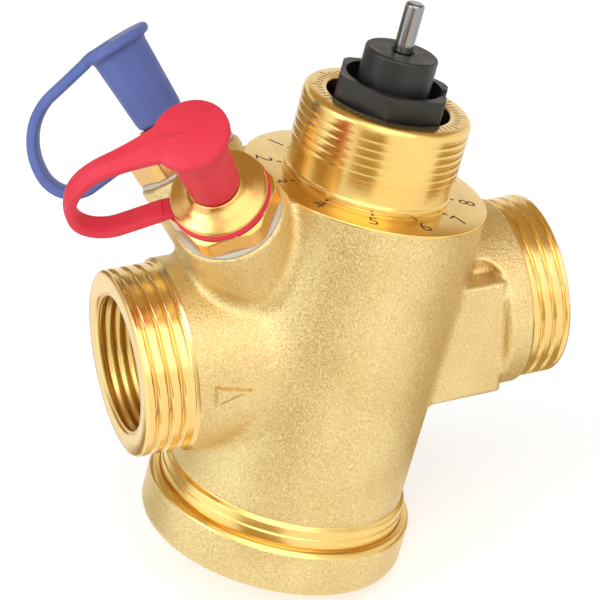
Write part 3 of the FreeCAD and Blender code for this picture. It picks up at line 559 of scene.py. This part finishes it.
SHOULDER_EDGE = 22.02
SHOULDER_SUNK = 27.6
SHOULDER_BREAK = 0.15
RELIEF_FOOT = 29.2
RELIEF_TOP = 33.1
RELIEF_DEPTH = 0.35
NECK_LEAD = 1.4
NECK_CHAMFER = 0.6
BORE_CHAMFER = 0.3
SNAP_GROOVE = 0.9
SNAP_ROOM = 1.25
relief_radius = NECK_CREST - RELIEF_DEPTH
snap_radius = NECK_BORE + SNAP_GROOVE
snap_top = BONNET_TOP + SNAP_ROOM
neck_rows = plain((SHOULDER_EDGE - 1.02, SHOULDER_SUNK), (SHOULDER_EDGE, SHOULDER_SUNK),
                  (SHOULDER_EDGE, NECK_FOOT - SHOULDER_BREAK), (SHOULDER_EDGE - SHOULDER_BREAK, NECK_FOOT),
                  (NECK_CREST, NECK_FOOT), (NECK_CREST, RELIEF_FOOT), (relief_radius, RELIEF_FOOT + 0.3),
                  (relief_radius, RELIEF_TOP))
thread_end = NECK_TOP - NECK_LEAD
neck_rows += threaded(NECK_CREST, RELIEF_TOP + 0.2, thread_end - 0.1, NECK_PITCH, NECK_GROOVE)
neck_rows += plain((NECK_CREST, thread_end), (NECK_CREST - 0.1, NECK_TOP - NECK_CHAMFER),
                   (NECK_CREST - NECK_CHAMFER, NECK_TOP), (NECK_BORE + BORE_CHAMFER, NECK_TOP),
                   (NECK_BORE, NECK_TOP - BORE_CHAMFER), (NECK_BORE, snap_top), (snap_radius, snap_top),
                   (snap_radius, BONNET_TOP), (NECK_BORE, BONNET_TOP), (NECK_BORE, BONNET_TOP - 4))
neck_skin = turned_mesh(neck_rows, VALVE, NECK_PITCH, segments=FINE_ROUND)
shown("neck_end", neck_skin, neck_brass)

BAND_RADIUS = 22.75
BAND_LOW = -31.9
FOOT_RADIUS = 23.0
FOOT_LOW = -34.6
FOOT_BORE = 20.0
band_top = BAND_TOP + 0.25
band_rows = plain((FOOT_BORE, band_top), (BARREL_RADIUS - SEAM, band_top), (BARREL_RADIUS, band_top - 0.3),
                  (BAND_RADIUS, band_top - 0.8), (BAND_RADIUS, BAND_LOW), (FOOT_RADIUS, BAND_LOW - 0.2),
                  (FOOT_RADIUS, FOOT_LOW), (FOOT_BORE, FOOT_LOW))
shown("foot_band", turned_mesh(band_rows, VALVE, segments=FINE_ROUND), neck_brass)

DIAL_START = 100.0
DIAL_STEP = 6.0
DIAL_TICKS = 46
TICKS_PER_NUMBER = 5
TICK_DEPTH = 0.12
TICK_PROUD = 0.012
TICK_WIDTH = 0.28
LONG_TICK = 2.0
SHORT_TICK = 1.1
TICK_RADIUS = NECK_BORE + 0.9
NUMBER_SIZE = 4.4
NUMBER_RADIUS = 18.6
NUMBER_TICK = 0.9
NUMBER_TICK_WIDTH = 0.5
NUMBER_TICK_RADIUS = 15.2


def bar_mesh(length, width, radius, angle, level):
    """Radial bar sunk into a face to stand nearly flush; the dial's dark colour on it is painted shade of
    the cut.
    """
    turn = Matrix.Rotation(math.radians(angle), 4, "Z")
    size = Matrix.Diagonal((length, width, TICK_DEPTH, 1))
    middle = Matrix.Translation((radius + length / 2, 0, level + TICK_PROUD - TICK_DEPTH / 2))
    whole = bmesh.new()
    bmesh.ops.create_cube(whole, size=1, matrix=VALVE @ turn @ middle @ size)
    data = bpy.data.meshes.new("tick")
    whole.to_mesh(data)
    whole.free()
    return data


def number_mesh(text, radius, angle, level):
    """Plain number sunk into a face to stand nearly flush, read from outside; its dark colour is painted
    shade of the cut.
    """
    letters = bpy.data.curves.new("number", "FONT")
    letters.body = text
    letters.size = NUMBER_SIZE
    letters.align_x = "CENTER"
    letters.align_y = "CENTER"
    letters.extrude = TICK_DEPTH / 2
    written = linked("number", letters)
    bpy.context.view_layer.update()
    data = bpy.data.meshes.new_from_object(written.evaluated_get(bpy.context.evaluated_depsgraph_get()))
    bpy.data.objects.remove(written)
    turn = Matrix.Rotation(math.radians(angle), 4, "Z")
    middle = Matrix.Translation((radius, 0, level + TICK_PROUD - TICK_DEPTH / 2))
    data.transform(VALVE @ turn @ middle @ Matrix.Rotation(math.radians(90), 4, "Z"))
    return data


# Painted shade: the ticks and numbers are coloured dark brown for the shade inside engraved cuts.
dial_painted_shade = finish("dial cuts painted shade", marks, {"Axis": tuple(VALVE_AXIS), "Rings per metre": TOOL_RINGS},
                   ((0.10, 0.06, 0.02), (0.17, 0.11, 0.04)), (0.45, 0.6), (0.3, 0.03), Metallic=0.6)
dial = []
for count in range(DIAL_TICKS):
    angle = DIAL_START + DIAL_STEP * count
    number, between = divmod(count, TICKS_PER_NUMBER)
    dial.append(bar_mesh(SHORT_TICK if between else LONG_TICK, TICK_WIDTH, TICK_RADIUS, angle, NECK_TOP))
    if not between:
        dial.append(number_mesh(str(number), NUMBER_RADIUS, angle, NECK_FOOT))
        dial.append(bar_mesh(NUMBER_TICK, NUMBER_TICK_WIDTH, NUMBER_TICK_RADIUS, angle, NECK_FOOT))
shown("neck_dial", joined(*dial), dial_painted_shade)

# Flow arrow: a low flat triangle raised on the side of the inlet barrel, cast with the body and blasted
# with it. It points along the flow, into the valve. Its lower side is less steep, and its flanks there are
# painted darker as shade.
ARROW_TAIL = -27.4
ARROW_TIP = -20.3
ARROW_HALF = 2.1
ARROW_TURN = math.radians(1.4)
ARROW_FLAT = PORT_RADIUS + 0.75
ARROW_SUNK = 0.5
SIDE_SLOPE = 3.0
LOW_SLOPE = 0.8
ARROW_MESH = 0.07
ARROW_MARGIN = 0.6
TIP_MARGIN = 0.8
arrow_edge = ARROW_HALF + ARROW_MARGIN
along, across = np.meshgrid(np.arange(ARROW_TAIL - ARROW_MARGIN, ARROW_TIP + TIP_MARGIN, ARROW_MESH),
                            np.arange(-arrow_edge, arrow_edge, ARROW_MESH), indexing="ij")
taper = ARROW_HALF / (ARROW_TIP - ARROW_TAIL)
flank = (np.abs(across) - taper * (ARROW_TIP - along)) * math.cos(math.atan(taper))
low_side = (across < 0) & (flank > ARROW_TAIL - along)
sloped = np.where(low_side, LOW_SLOPE, SIDE_SLOPE) * np.maximum(flank, ARROW_TAIL - along)
reach = np.minimum(np.sqrt(PORT_RADIUS ** 2 - across ** 2) - np.minimum(sloped, ARROW_SUNK), ARROW_FLAT)
points = np.stack([along, -reach, across], 2).reshape(-1, 3)
corner = np.arange(along.size).reshape(along.shape)
faces = np.stack([corner[:-1, :-1], corner[1:, :-1], corner[1:, 1:], corner[:-1, 1:]], 2).reshape(-1, 4)
arrow_data = placed_mesh(points, faces.tolist(), Matrix.Rotation(-ARROW_TURN, 4, "X"))
# Painted shade: the flanks on the arrow's lower side take a darker brass, standing for the shade under its
# edge.
painted_shade_brass = blasted("cast brass painted darker as shade", (0.56, 0.38, 0.14), (0.75, 0.55, 0.25), (0.42, 0.58))
arrow = shown("flow_arrow", arrow_data, cast_brass, sharp=35)
arrow.data.materials.append(painted_shade_brass)
painted_shade_faces = (reach < ARROW_FLAT) & low_side
arrow.data.polygons.foreach_set("material_index", painted_shade_faces.reshape(-1)[faces].any(1).astype(int).tolist())

# Bottom cap: a forged brass cup, blasted outside and turned on its rim, screwed over the body's foot.
# It closes the regulator's chamber and clamps the diaphragm's edge.
CAP_OUT = 24.81
CAP_IN = 23.06
CAP_RIM = -33.85
CAP_LOW = -43.15
CAP_ROUND = 1.2
RIM_CUT = CAP_RIM - 0.9
RIM_BREAK = 0.6
MIDDLE = 0.01
cap_rows = plain((MIDDLE, CAP_LOW), (CAP_OUT - CAP_ROUND, CAP_LOW), (CAP_OUT, CAP_LOW + CAP_ROUND),
                 (CAP_OUT, RIM_CUT), ease=0.6)
rim_rows = plain((CAP_OUT, RIM_CUT), (CAP_OUT - 0.05, RIM_CUT + 0.1), (CAP_OUT - RIM_BREAK, CAP_RIM),
                 (CAP_IN, CAP_RIM), (CAP_IN, CAP_RIM - 4.0))
bottom_cap = shown("foot_cap", turned_mesh(cap_rows, VALVE, segments=FINE_ROUND), cast_brass)
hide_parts("bottom_cap")
shown("foot_cap_rim", turned_mesh(rim_rows, VALVE, segments=FINE_ROUND), neck_brass)

# Inner works: the regulator over the diaphragm, the bonnet with its seals, the preset sleeve with its black
# hexagon and gland, and the stem. They are turned brass, drawn steel, moulded rubber and filled plastics,
# dropped in through the neck and the foot.
MOULD_GRAINS = 1500.0
MOULD_SHINE = 300.0
MOULD_TONE = 120.0
MOULD_RELIEF = (0.3, 0.03)
DRAWN_MARKS = (0.2, 0.02)
skin, skin_in, skin_out, skin_place = node_group(
    "moulded skin", [("Grains per metre", "NodeSocketFloat", MOULD_GRAINS)], ("Height", "Shine", "Tone"))
skin.links.new(noise(skin, skin_place, skin_in["Grains per metre"]), skin_out["Height"])
skin.links.new(noise(skin, skin_place, MOULD_SHINE), skin_out["Shine"])
skin.links.new(noise(skin, skin_place, MOULD_TONE), skin_out["Tone"])


def moulded(name, dark, light, matt, grains=MOULD_GRAINS, **values):
    """Moulded plastic or rubber, with a fine grain and a slightly uneven tone."""
    return finish(name, skin, {"Grains per metre": grains}, (dark, light), matt, MOULD_RELIEF, **values)


def drawn_steel(name, dark, light, matt):
    """Drawn or ground steel, with fine marks round the valve's axis."""
    values = {"Axis": tuple(VALVE_AXIS), "Rings per metre": TOOL_RINGS}
    return finish(name, marks, values, (dark, light), matt, DRAWN_MARKS, Metallic=1.0)


rubber = moulded("black rubber", (0.012, 0.012, 0.012), (0.022, 0.022, 0.022), (0.5, 0.7))
black_plastic = moulded("black plastic", (0.010, 0.010, 0.009), (0.018, 0.017, 0.015), (0.34, 0.48),
                        grains=2200.0)
grey_plastic = moulded("glass-filled plastic", (0.14, 0.14, 0.15), (0.2, 0.2, 0.21), (0.45, 0.6))
stainless = drawn_steel("ground stainless steel", (0.26, 0.255, 0.25), (0.36, 0.355, 0.35), (0.08, 0.15))
spring_steel = drawn_steel("spring steel", (0.50, 0.49, 0.48), (0.62, 0.61, 0.60), (0.25, 0.4))
inner_finish = {
    neck_brass: ("bonnet", "valve_disc", "regulator_guide"),
    rubber: ("bonnet_seal", "hub_seal", "stem_seal", "disc_seal", "diaphragm", "red_core", "blue_core"),
    spring_steel: ("bonnet_ring", "stem_clip"),
    stainless: ("stem", "regulator_piston", "diaphragm_plate", "piston_nut"),
    grey_plastic: ("preset_sleeve",),
    black_plastic: ("preset_nut", "gland"),
}
for material, names in inner_finish.items():
    for name in names:
        nodes[name].data.materials.clear()
        nodes[name].data.materials.append(material)

# Springs: square steel wire, coiled. One stands round the stem under its clip and one round the piston's
# rod under the guide, each drawn between two fixed heights.
COIL_STEPS = 48
STEM_COIL = {"radius": 2.6, "half_wire": 0.4, "turns": 6}
STEM_COIL_ENDS = (24.55, NECK_TOP - 6.75)
REGULATOR_COIL = {"radius": 8.0, "half_wire": 0.6, "turns": 5}
REGULATOR_COIL_ENDS = (-19.55, -37.3)


def coil_mesh(ends, radius, half_wire, turns):
    """Compression spring about the valve's axis, between two heights."""
    bottom = min(ends) + half_wire
    top = max(ends) - half_wire
    count = turns * COIL_STEPS + 1
    angles = np.linspace(0, turns * TAU, count)
    heights = np.linspace(bottom, top, count)
    edges = [np.stack([(radius + out) * np.cos(angles), (radius + out) * np.sin(angles), heights + up], 1)
             for out, up in np.array([(-1, -1), (1, -1), (1, 1), (-1, 1)]) * half_wire]
    corner = np.arange(4)
    after = (corner + 1) % 4
    side = np.stack([corner, corner + 4, after + 4, after], 1)
    faces = np.concatenate([side + 4 * step for step in range(count - 1)]).tolist()
    faces += [corner.tolist(), (corner[::-1] + 4 * (count - 1)).tolist()]
    return placed_mesh(np.stack(edges, 1).reshape(-1, 3), faces, VALVE)


for mover, seat, ends, coil in (("stem", "preset", STEM_COIL_ENDS, STEM_COIL),
                                ("regulator", "valve", REGULATOR_COIL_ENDS, REGULATOR_COIL)):
    spring = shown(mover + "_coil", coil_mesh(ends, **coil), spring_steel, body=None)
    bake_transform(spring)
    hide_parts(mover + "_spring")

# Test plugs: brass hexagons screwed into the bosses over white sealing washers. A groove over the hexagon
# holds the cap's ring, and a coned flange leads up to the nipple under the cap.
WASHER_RADIUS = 9.2
WASHER_TOP = 0.85
HEX_FLATS = 17.0
HEX_CORNER = 9.25
HEX_TURN = 15.0
HEX_TOP = 4.9
HEX_BEVEL = math.tan(math.radians(30))
HEX_EDGE = 0.12
GROOVE_RADIUS = 6.9
FLANGE_FOOT = 6.2
FLANGE_RADIUS = 8.3
CONE = ((7.95, 7.0), (6.3, 7.5), (5.2, 8.05), (4.7, 8.5), (4.55, 8.75))
LIP_RADIUS = 4.35
LIP_TOP = 8.9
NIPPLE_RADIUS = 3.0
NIPPLE_BORE = 1.8
NIPPLE_TOP = 20.9
SHANK_RADIUS = 4.86
SHANK_END = -7.5


def hexagon_mesh(place, low, high, inner, segments=FINE_ROUND):
    """Hexagon whose corners are turned back to a cone above and below."""
    angles = np.arange(segments) * TAU / segments
    from_flat = (np.degrees(angles) - HEX_TURN) % 60 - 30
    flat = HEX_FLATS / 2
    edge = np.minimum(flat / np.cos(np.radians(from_flat)), HEX_CORNER)
    drop = (edge - flat) * HEX_BEVEL
    soft = HEX_EDGE
    level = np.ones(segments)
    rings = [(inner * level, high * level), ((flat - soft) * level, high * level),
             (np.minimum(edge - soft, flat + soft), high - np.minimum(drop, soft * HEX_BEVEL)),
             (edge - soft, high - np.maximum(drop - soft * HEX_BEVEL, 0)), (edge, high - drop - soft),
             (edge, (low + soft) * level), (edge - soft, low * level), (inner * level, low * level)]
    points = np.concatenate([np.stack([r * np.cos(angles), r * np.sin(angles), z], 1) for r, z in rings])
    return placed_mesh(points, [face[::-1] for face in tube(len(rings), segments)], place)


washer_white = moulded("white washer", (0.58, 0.52, 0.43), (0.68, 0.62, 0.53), (0.4, 0.55))
stalk_rows = plain((GROOVE_RADIUS, HEX_TOP - 0.3), (GROOVE_RADIUS, FLANGE_FOOT),
                   (FLANGE_RADIUS, FLANGE_FOOT), (FLANGE_RADIUS, FLANGE_FOOT + 0.5), *CONE,
                   (LIP_RADIUS, LIP_TOP), (NIPPLE_RADIUS, LIP_TOP), (NIPPLE_RADIUS, NIPPLE_TOP - 0.5),
                   (NIPPLE_RADIUS - 0.5, NIPPLE_TOP), (NIPPLE_BORE, NIPPLE_TOP),
                   (NIPPLE_BORE, NIPPLE_TOP - 8.9))
shank_rows = plain((NIPPLE_RADIUS, SHANK_END), (SHANK_RADIUS, SHANK_END), (SHANK_RADIUS, WASHER_TOP + 0.1))
washer_bore = SHANK_RADIUS + 0.09
washer_high = WASHER_TOP - SEAM
washer_rows = plain((washer_bore, SEAM), (WASHER_RADIUS, SEAM), (WASHER_RADIUS, washer_high),
                    (washer_bore, washer_high), ease=0.25)
for side, plug_place in PLUGS.items():
    plug_axis = plug_place.to_3x3() @ Vector((0, 0, 1))
    plug_brass = turned_brass(side + " plug brass", plug_axis, (0.72, 0.42, 0.13), (0.78, 0.47, 0.16))
    plug_data = joined(turned_mesh(stalk_rows, plug_place, segments=192),
                       turned_mesh(shank_rows, plug_place, segments=96),
                       hexagon_mesh(plug_place, WASHER_TOP, HEX_TOP, SHANK_RADIUS - 0.06))
    plug = shown(side + "_test_plug", plug_data, plug_brass, sharp=24)
    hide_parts(side + "_plug")
    washer_data = turned_mesh(washer_rows, plug_place, segments=160)
    washer = shown(side + "_sealing_washer", washer_data, washer_white, sharp=50)
    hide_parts(side + "_washer")

# Moulded caps: soft polyethylene, red for the inlet's pressure and blue for the outlet's. Cap, strap and
# ring are one moulding. The ring stays in the plug's groove when the cap is pulled off; the strap rides on
# no body and stays where it is drawn.
CAP_BORE = 3.05
CAP_BORE_TOP = 21.2
SKIRT_FOOT = 8.95
SKIRT_RADIUS = 4.0
SKIRT_TOP_RADIUS = 5.0
DISC_FOOT = 23.25
DISC_TOP = 24.85
DISC_RADIUS = 6.45
STRAP_TURN = {"red": 134.0, "blue": 184.7}
STRAP_START = DISC_FOOT + 0.45
STRAP_SUNK = 1.6
STRAP_REACH = 23.8
STRAP_DROOP = math.radians(11.0)
STRAP_TOP_BEND = 11.6
STRAP_RISE = math.radians(6.7)
STRAP_WIDTH = 3.7
STRAP_THICKNESS = 1.8
STRAP_EDGE = 0.5
STRAP_ROOT = 0.3
STRAP_LIFT = 0.3
STRAP_FLARE = 0.9
STRAP_SAMPLES = 96
RIB_HALF = 0.7
RIB_RISE = 0.2
RING_LEVEL = 5.55
RING_HALF = 0.62
RING_BORE = 6.95
RING_RADIUS = 8.55
TONGUE_START = 7.6
TONGUE_REACH = 9.8
TONGUE_LAP = 0.2
GATE_RIB = ((6.2, 1.6, 0.02), (5.2, 1.45, 0.24), (2.5, 0.8, 0.26), (0.9, 0.4, 0.22), (0.5, 0.25, 0.02))
GATE_SIDES = 6


def strap_line(samples):
    """Strap's middle line as distance from the plug's axis and height, with the way its outside faces."""
    start = np.array([DISC_RADIUS - STRAP_SUNK, STRAP_START])
    run = (STRAP_REACH - STRAP_TOP_BEND * (1 - math.sin(STRAP_DROOP)) - start[0]) / math.cos(STRAP_DROOP)
    middle = start[1] - run * math.sin(STRAP_DROOP) - STRAP_TOP_BEND * math.cos(STRAP_DROOP)
    rise = math.tan(STRAP_RISE)
    low_bend = (middle + rise * (STRAP_REACH - TONGUE_REACH) - RING_LEVEL) / (
        math.cos(STRAP_RISE) + rise * (1 + math.sin(STRAP_RISE)))
    slope = np.array([math.cos(STRAP_DROOP), -math.sin(STRAP_DROOP)])
    upper = math.pi / 2 - STRAP_DROOP
    lower = -math.pi / 2 - STRAP_RISE
    line = [(start + run * share * slope, upper)
            for share in np.linspace(0, 1, samples // 4, endpoint=False)]
    for bend, first, last in ((STRAP_TOP_BEND, upper, 0.0), (low_bend, 0.0, lower)):
        centre = np.array([STRAP_REACH - bend, middle])
        for angle in np.linspace(first, last, samples // 3, endpoint=False):
            line.append((centre + bend * np.array([math.cos(angle), math.sin(angle)]), angle))
    last = line[-1][0]
    end = np.array([TONGUE_REACH - TONGUE_LAP, RING_LEVEL])
    return line + [(last + (end - last) * share, lower) for share in np.linspace(0.02, 1, samples // 4)]


def strap_mesh(place):
    """Strap with rounded edges and a low rib along its outside."""
    half, thick, soft = STRAP_WIDTH / 2, STRAP_THICKNESS / 2, STRAP_EDGE
    near = soft * (1 - math.sqrt(0.5))
    corner = [(half, thick - soft), (half - near, thick - near), (half - soft, thick)]
    rib = [(RIB_HALF, thick), (RIB_HALF - 0.3, thick + RIB_RISE)]
    right = [(across, -up) for across, up in corner[::-1]] + corner + rib
    section = right + [(-across, up) for across, up in right[::-1]]
    line = strap_line(STRAP_SAMPLES)
    points = []
    for share, (spot, facing) in zip(np.linspace(0, 1, len(line)), line):
        way = np.array([math.cos(facing), math.sin(facing)])
        near = max(0.0, 1 - share / STRAP_ROOT) ** 2
        spot = spot + (0, STRAP_LIFT * near)
        points += [(*(spot + up * way), across * (1 + STRAP_FLARE * near)) for across, up in section]
    points = np.array(points)[:, [0, 2, 1]]
    return placed_mesh(points, tube(len(line), len(section), closed=True), place)


def rounded_bar(corner_low, corner_high, place, ease=0.3):
    """Bar between two corners with rounded edges."""
    whole = bmesh.new()
    low, high = Vector(corner_low), Vector(corner_high)
    size = Matrix.Diagonal((*(high - low), 1))
    bmesh.ops.create_cube(whole, size=1, matrix=Matrix.Translation((low + high) / 2) @ size)
    bmesh.ops.bevel(whole, geom=whole.edges[:], offset=ease, segments=3, profile=0.5, affect="EDGES")
    data = bpy.data.meshes.new("bar")
    whole.to_mesh(data)
    whole.free()
    data.transform(place)
    return data


def gate_rib(place):
    """Low rib on the disc that carries the strap's line on to the middle, where the moulding gate was."""
    points = []
    for out, half, rise in GATE_RIB:
        sunk = DISC_TOP - 0.3
        points += [(out, -half, sunk), (out, -half, DISC_TOP), (out, -half * 0.5, DISC_TOP + rise),
                   (out, half * 0.5, DISC_TOP + rise), (out, half, DISC_TOP), (out, half, sunk)]
    faces = tube(len(GATE_RIB), GATE_SIDES, closed=True)
    return placed_mesh(points, [face[::-1] for face in faces], place)


CAP_COLOURS = {"red": ((0.80, 0.036, 0.068), (0.90, 0.048, 0.082)),
               "blue": ((0.108, 0.148, 0.41), (0.132, 0.18, 0.46))}
LIGHT_DEPTH = {"red": (0.004, 0.001, 0.001), "blue": (0.001, 0.001, 0.003)}
cap_plastic = {side: moulded(side + " polyethylene", dark, light, (0.42, 0.54), grains=900.0,
                             Specular_IOR_Level=0.25, Subsurface_Weight=0.10,
                             Subsurface_Radius=LIGHT_DEPTH[side], Subsurface_Scale=0.4)
               for side, (dark, light) in CAP_COLOURS.items()}
head_rows = plain((CAP_BORE, SKIRT_FOOT), (SKIRT_RADIUS, SKIRT_FOOT), (SKIRT_RADIUS + 0.4, SKIRT_FOOT + 0.9),
                  (SKIRT_TOP_RADIUS, DISC_FOOT - 0.5), (SKIRT_TOP_RADIUS + 0.4, DISC_FOOT),
                  (DISC_RADIUS, DISC_FOOT + 0.1), (DISC_RADIUS, DISC_TOP), (MIDDLE, DISC_TOP), ease=0.4)
bore_rows = plain((CAP_BORE, SKIRT_FOOT), (CAP_BORE, CAP_BORE_TOP), (MIDDLE, CAP_BORE_TOP))
ring_low = RING_LEVEL - RING_HALF
ring_high = RING_LEVEL + RING_HALF
ring_rows = plain((RING_BORE, RING_LEVEL), (RING_BORE, ring_high), (RING_RADIUS, ring_high),
                  (RING_RADIUS, ring_low), (RING_BORE, ring_low), (RING_BORE, RING_LEVEL), ease=0.3)
for side, plug_place in PLUGS.items():
    strap_way = plug_place @ Matrix.Rotation(math.radians(STRAP_TURN[side]), 4, "Z")
    cap_data = joined(turned_mesh(head_rows, plug_place, segments=128),
                      turned_mesh(bore_rows, plug_place, segments=64), gate_rib(strap_way))
    cap = shown(side + "_cap_head", cap_data, cap_plastic[side], body=side + "_cap", sharp=50)
    tongue = rounded_bar((TONGUE_START, -STRAP_WIDTH / 2, ring_low),
                         (TONGUE_REACH + TONGUE_LAP, STRAP_WIDTH / 2, ring_high), strap_way)
    ring_data = joined(turned_mesh(ring_rows, plug_place, segments=160), tongue)
    shown(side + "_cap_ring", ring_data, cap_plastic[side], sharp=50)
    strap_data = strap_mesh(strap_way)
    strap = shown(side + "_cap_strap", strap_data, cap_plastic[side], body=None, sharp=60)
    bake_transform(strap)
    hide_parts(side + "_cap")

# Studio: a white floor that runs out of the picture, a large soft box in front and a smaller one to the
# left. Brown and bright cards round the valve are seen only in the metal, and the camera stands where the
# photograph was taken from. Lengths here are in metres.
FLOOR_LEVEL = -0.0479
FLOOR_HALF = 3.0
NEAR_GLOW = 0.44
FAR_GLOW = 0.62
GLOW_NEAR = 0.3
GLOW_FAR = 1.0
SKY_LIGHT = 0.52
CARD_LIFT = 0.001
LOW_CARD = FLOOR_LEVEL + 2 * CARD_LIFT
BROWN = (0.48, 0.34, 0.16)
WARM_WHITE = (1.25, 1.2, 1.1)
COOL_WHITE = (1.25, 1.4, 1.5)


def seen_rays(tree):
    """One where the camera, a reflection or a view through glass looks, and nought for light that falls."""
    rays = tree.nodes.new("ShaderNodeLightPath")
    result = rays.outputs["Is Camera Ray"]
    for kind in ("Is Glossy Ray", "Is Transmission Ray"):
        either = tree.nodes.new("ShaderNodeMath")
        either.operation = "MAXIMUM"
        tree.links.new(result, either.inputs[0])
        tree.links.new(rays.outputs[kind], either.inputs[1])
        result = either.outputs[0]
    return result


def sheet(name, corners):
    """Flat piece of the studio that isn't part of the valve."""
    data = bpy.data.meshes.new(name)
    data.from_pydata(corners, [], [(0, 1, 2, 3)])
    obj = linked(name, data)
    return obj


floor_white = bpy.data.materials.new("floor white")
floor_white.use_nodes = True
tree = floor_white.node_tree
shader = tree.nodes["Principled BSDF"]
shader.inputs["Base Color"].default_value = (0.8, 0.8, 0.8, 1)
shader.inputs["Roughness"].default_value = 0.9
shader.inputs["Emission Color"].default_value = (1, 1, 1, 1)
glow = tree.nodes.new("ShaderNodeMath")
glow.operation = "MULTIPLY"
away = tree.nodes.new("ShaderNodeVectorMath")
away.operation = "LENGTH"
tree.links.new(tree.nodes.new("ShaderNodeTexCoord").outputs["Object"], away.inputs[0])
tree.links.new(seen_rays(tree), glow.inputs[0])
whiter = ranged(tree, away.outputs["Value"], NEAR_GLOW, FAR_GLOW, GLOW_NEAR, GLOW_FAR)
tree.links.new(whiter, glow.inputs[1])
tree.links.new(glow.outputs[0], shader.inputs["Emission Strength"])
floor = sheet("floor", [(right * FLOOR_HALF, back * FLOOR_HALF, FLOOR_LEVEL)
                        for right, back in ((-1, -1), (1, -1), (1, 1), (-1, 1))])
floor.data.materials.append(floor_white)

world = bpy.data.worlds.new("studio")
bpy.context.scene.world = world
world.use_nodes = True
tree = world.node_tree
sky = tree.nodes["Background"]
sky.inputs["Color"].default_value = (1, 1, 1, 1)
tree.links.new(ranged(tree, seen_rays(tree), SKY_LIGHT, 1.0, 0.0, 1.0), sky.inputs["Strength"])


def card(name, colour, corners):
    """Card of a plain colour that only the metal shows."""
    piece = sheet(name, corners)
    material = bpy.data.materials.new(name)
    material.use_nodes = True
    shader = material.node_tree.nodes["Principled BSDF"]
    shader.inputs["Base Color"].default_value = (0, 0, 0, 1)
    shader.inputs["Specular IOR Level"].default_value = 0.0
    shader.inputs["Emission Color"].default_value = (*colour, 1)
    shader.inputs["Emission Strength"].default_value = 1.0
    piece.data.materials.append(material)
    piece.visible_camera = False
    piece.visible_diffuse = False
    piece.visible_shadow = False
    piece.visible_transmission = False


def flat_card(name, colour, low, high):
    """Card between two opposite corners that are level in one direction."""
    first, second = [axis for axis in range(3) if low[axis] != high[axis]]
    corners = [list(low) for _ in range(4)]
    for corner in corners[1:3]:
        corner[first] = high[first]
    for corner in corners[2:]:
        corner[second] = high[second]
    card(name, colour, corners)


def fan_card(name, colour, first, last, near, far, high):
    """Card between two directions from the front, that lies on the floor and then stands up from it."""
    ways = [(math.sin(math.radians(way)), -math.cos(math.radians(way))) for way in (first, last)]
    low = FLOOR_LEVEL + CARD_LIFT
    inner = [(x * near, y * near, low) for x, y in ways]
    outer = [(x * far, y * far, low) for x, y in ways]
    top = [(x * far, y * far, high) for x, y in ways]
    card(name + " foot", colour, inner + outer[::-1])
    card(name, colour, outer + top[::-1])


flat_card("back card", BROWN, (-1.0, 0.6, 0.27), (1.2, 0.6, 1.2))
flat_card("top card", BROWN, (-0.9, -0.08, 1.0), (0.9, 0.7, 1.0))
flat_card("top front card", BROWN, (0.25, -0.5, 1.0), (0.9, -0.08, 1.0))
flat_card("right card", BROWN, (0.8, -0.4, 0.35), (0.8, 0.6, 1.0))
flat_card("left card", BROWN, (-0.8, -0.1, 0.62), (-0.8, 0.6, 1.0))
fan_card("dark left card", (0.36, 0.26, 0.13), -176, -110, near=0.28, far=0.30, high=0.05)
fan_card("bright left card", COOL_WHITE, -103, -60, near=0.08, far=0.30, high=0.12)
fan_card("dark front card", (0.48, 0.33, 0.11), -56, -20, near=0.08, far=0.30, high=0.035)
fan_card("dark right card", (0.50, 0.36, 0.15), 58, 150, near=0.045, far=0.20, high=LOW_CARD)
fan_card("dark foot card", (0.40, 0.28, 0.12), -125, -98, near=0.05, far=0.087, high=LOW_CARD)
fan_card("bright front card", WARM_WHITE, -16, 40, near=0.15, far=0.26, high=0.06)


def soft_box(name, azimuth, elevation, distance, size, power, tint=(1, 1, 1)):
    """Square lamp that faces the valve from a direction counted from the front."""
    lamp = bpy.data.lights.new(name, "AREA")
    lamp.size = size
    lamp.energy = power
    lamp.color = tint
    turn, rise = math.radians(azimuth), math.radians(elevation)
    way = Vector((math.sin(turn) * math.cos(rise), -math.cos(turn) * math.cos(rise), math.sin(rise)))
    obj = linked(name, lamp)
    obj.location = way * distance
    obj.rotation_euler = way.to_track_quat("Z", "Y").to_euler()


soft_box("front box", -4.0, 44.0, distance=0.9, size=1.0, power=3.7)
soft_box("left box", -80.0, 28.0, distance=0.8, size=0.4, power=1.9, tint=(0.9, 1.0, 1.08))

AZIMUTH = math.radians(-22.64)
ELEVATION = math.radians(30.26)
ROLL = math.radians(0.61)
DISTANCE = 0.41043
PICTURE_PIXELS = 600
FOCAL_PIXELS = 2277.12
PIXELS_RIGHT = 26.17
PIXELS_DOWN = 22.47
SENSOR = 36.0
back = Vector((math.sin(AZIMUTH) * math.cos(ELEVATION), -math.cos(AZIMUTH) * math.cos(ELEVATION),
               math.sin(ELEVATION)))
right = (-back).cross(Vector((0, 0, 1))).normalized()
up = right.cross(-back)
tilted_right = math.cos(ROLL) * right + math.sin(ROLL) * up
tilted_up = math.cos(ROLL) * up - math.sin(ROLL) * right
lens = bpy.data.cameras.new("camera")
lens.sensor_width = SENSOR
lens.lens = FOCAL_PIXELS / PICTURE_PIXELS * SENSOR
lens.shift_x = -PIXELS_RIGHT / PICTURE_PIXELS
lens.shift_y = PIXELS_DOWN / PICTURE_PIXELS
lens.clip_start = 0.01
camera = linked("camera", lens)
facing = Matrix((tilted_right, tilted_up, back)).transposed().to_4x4()
camera.matrix_world = Matrix.Translation(back * DISTANCE) @ facing
bpy.context.scene.camera = camera
bpy.context.scene.view_settings.view_transform = "Standard"
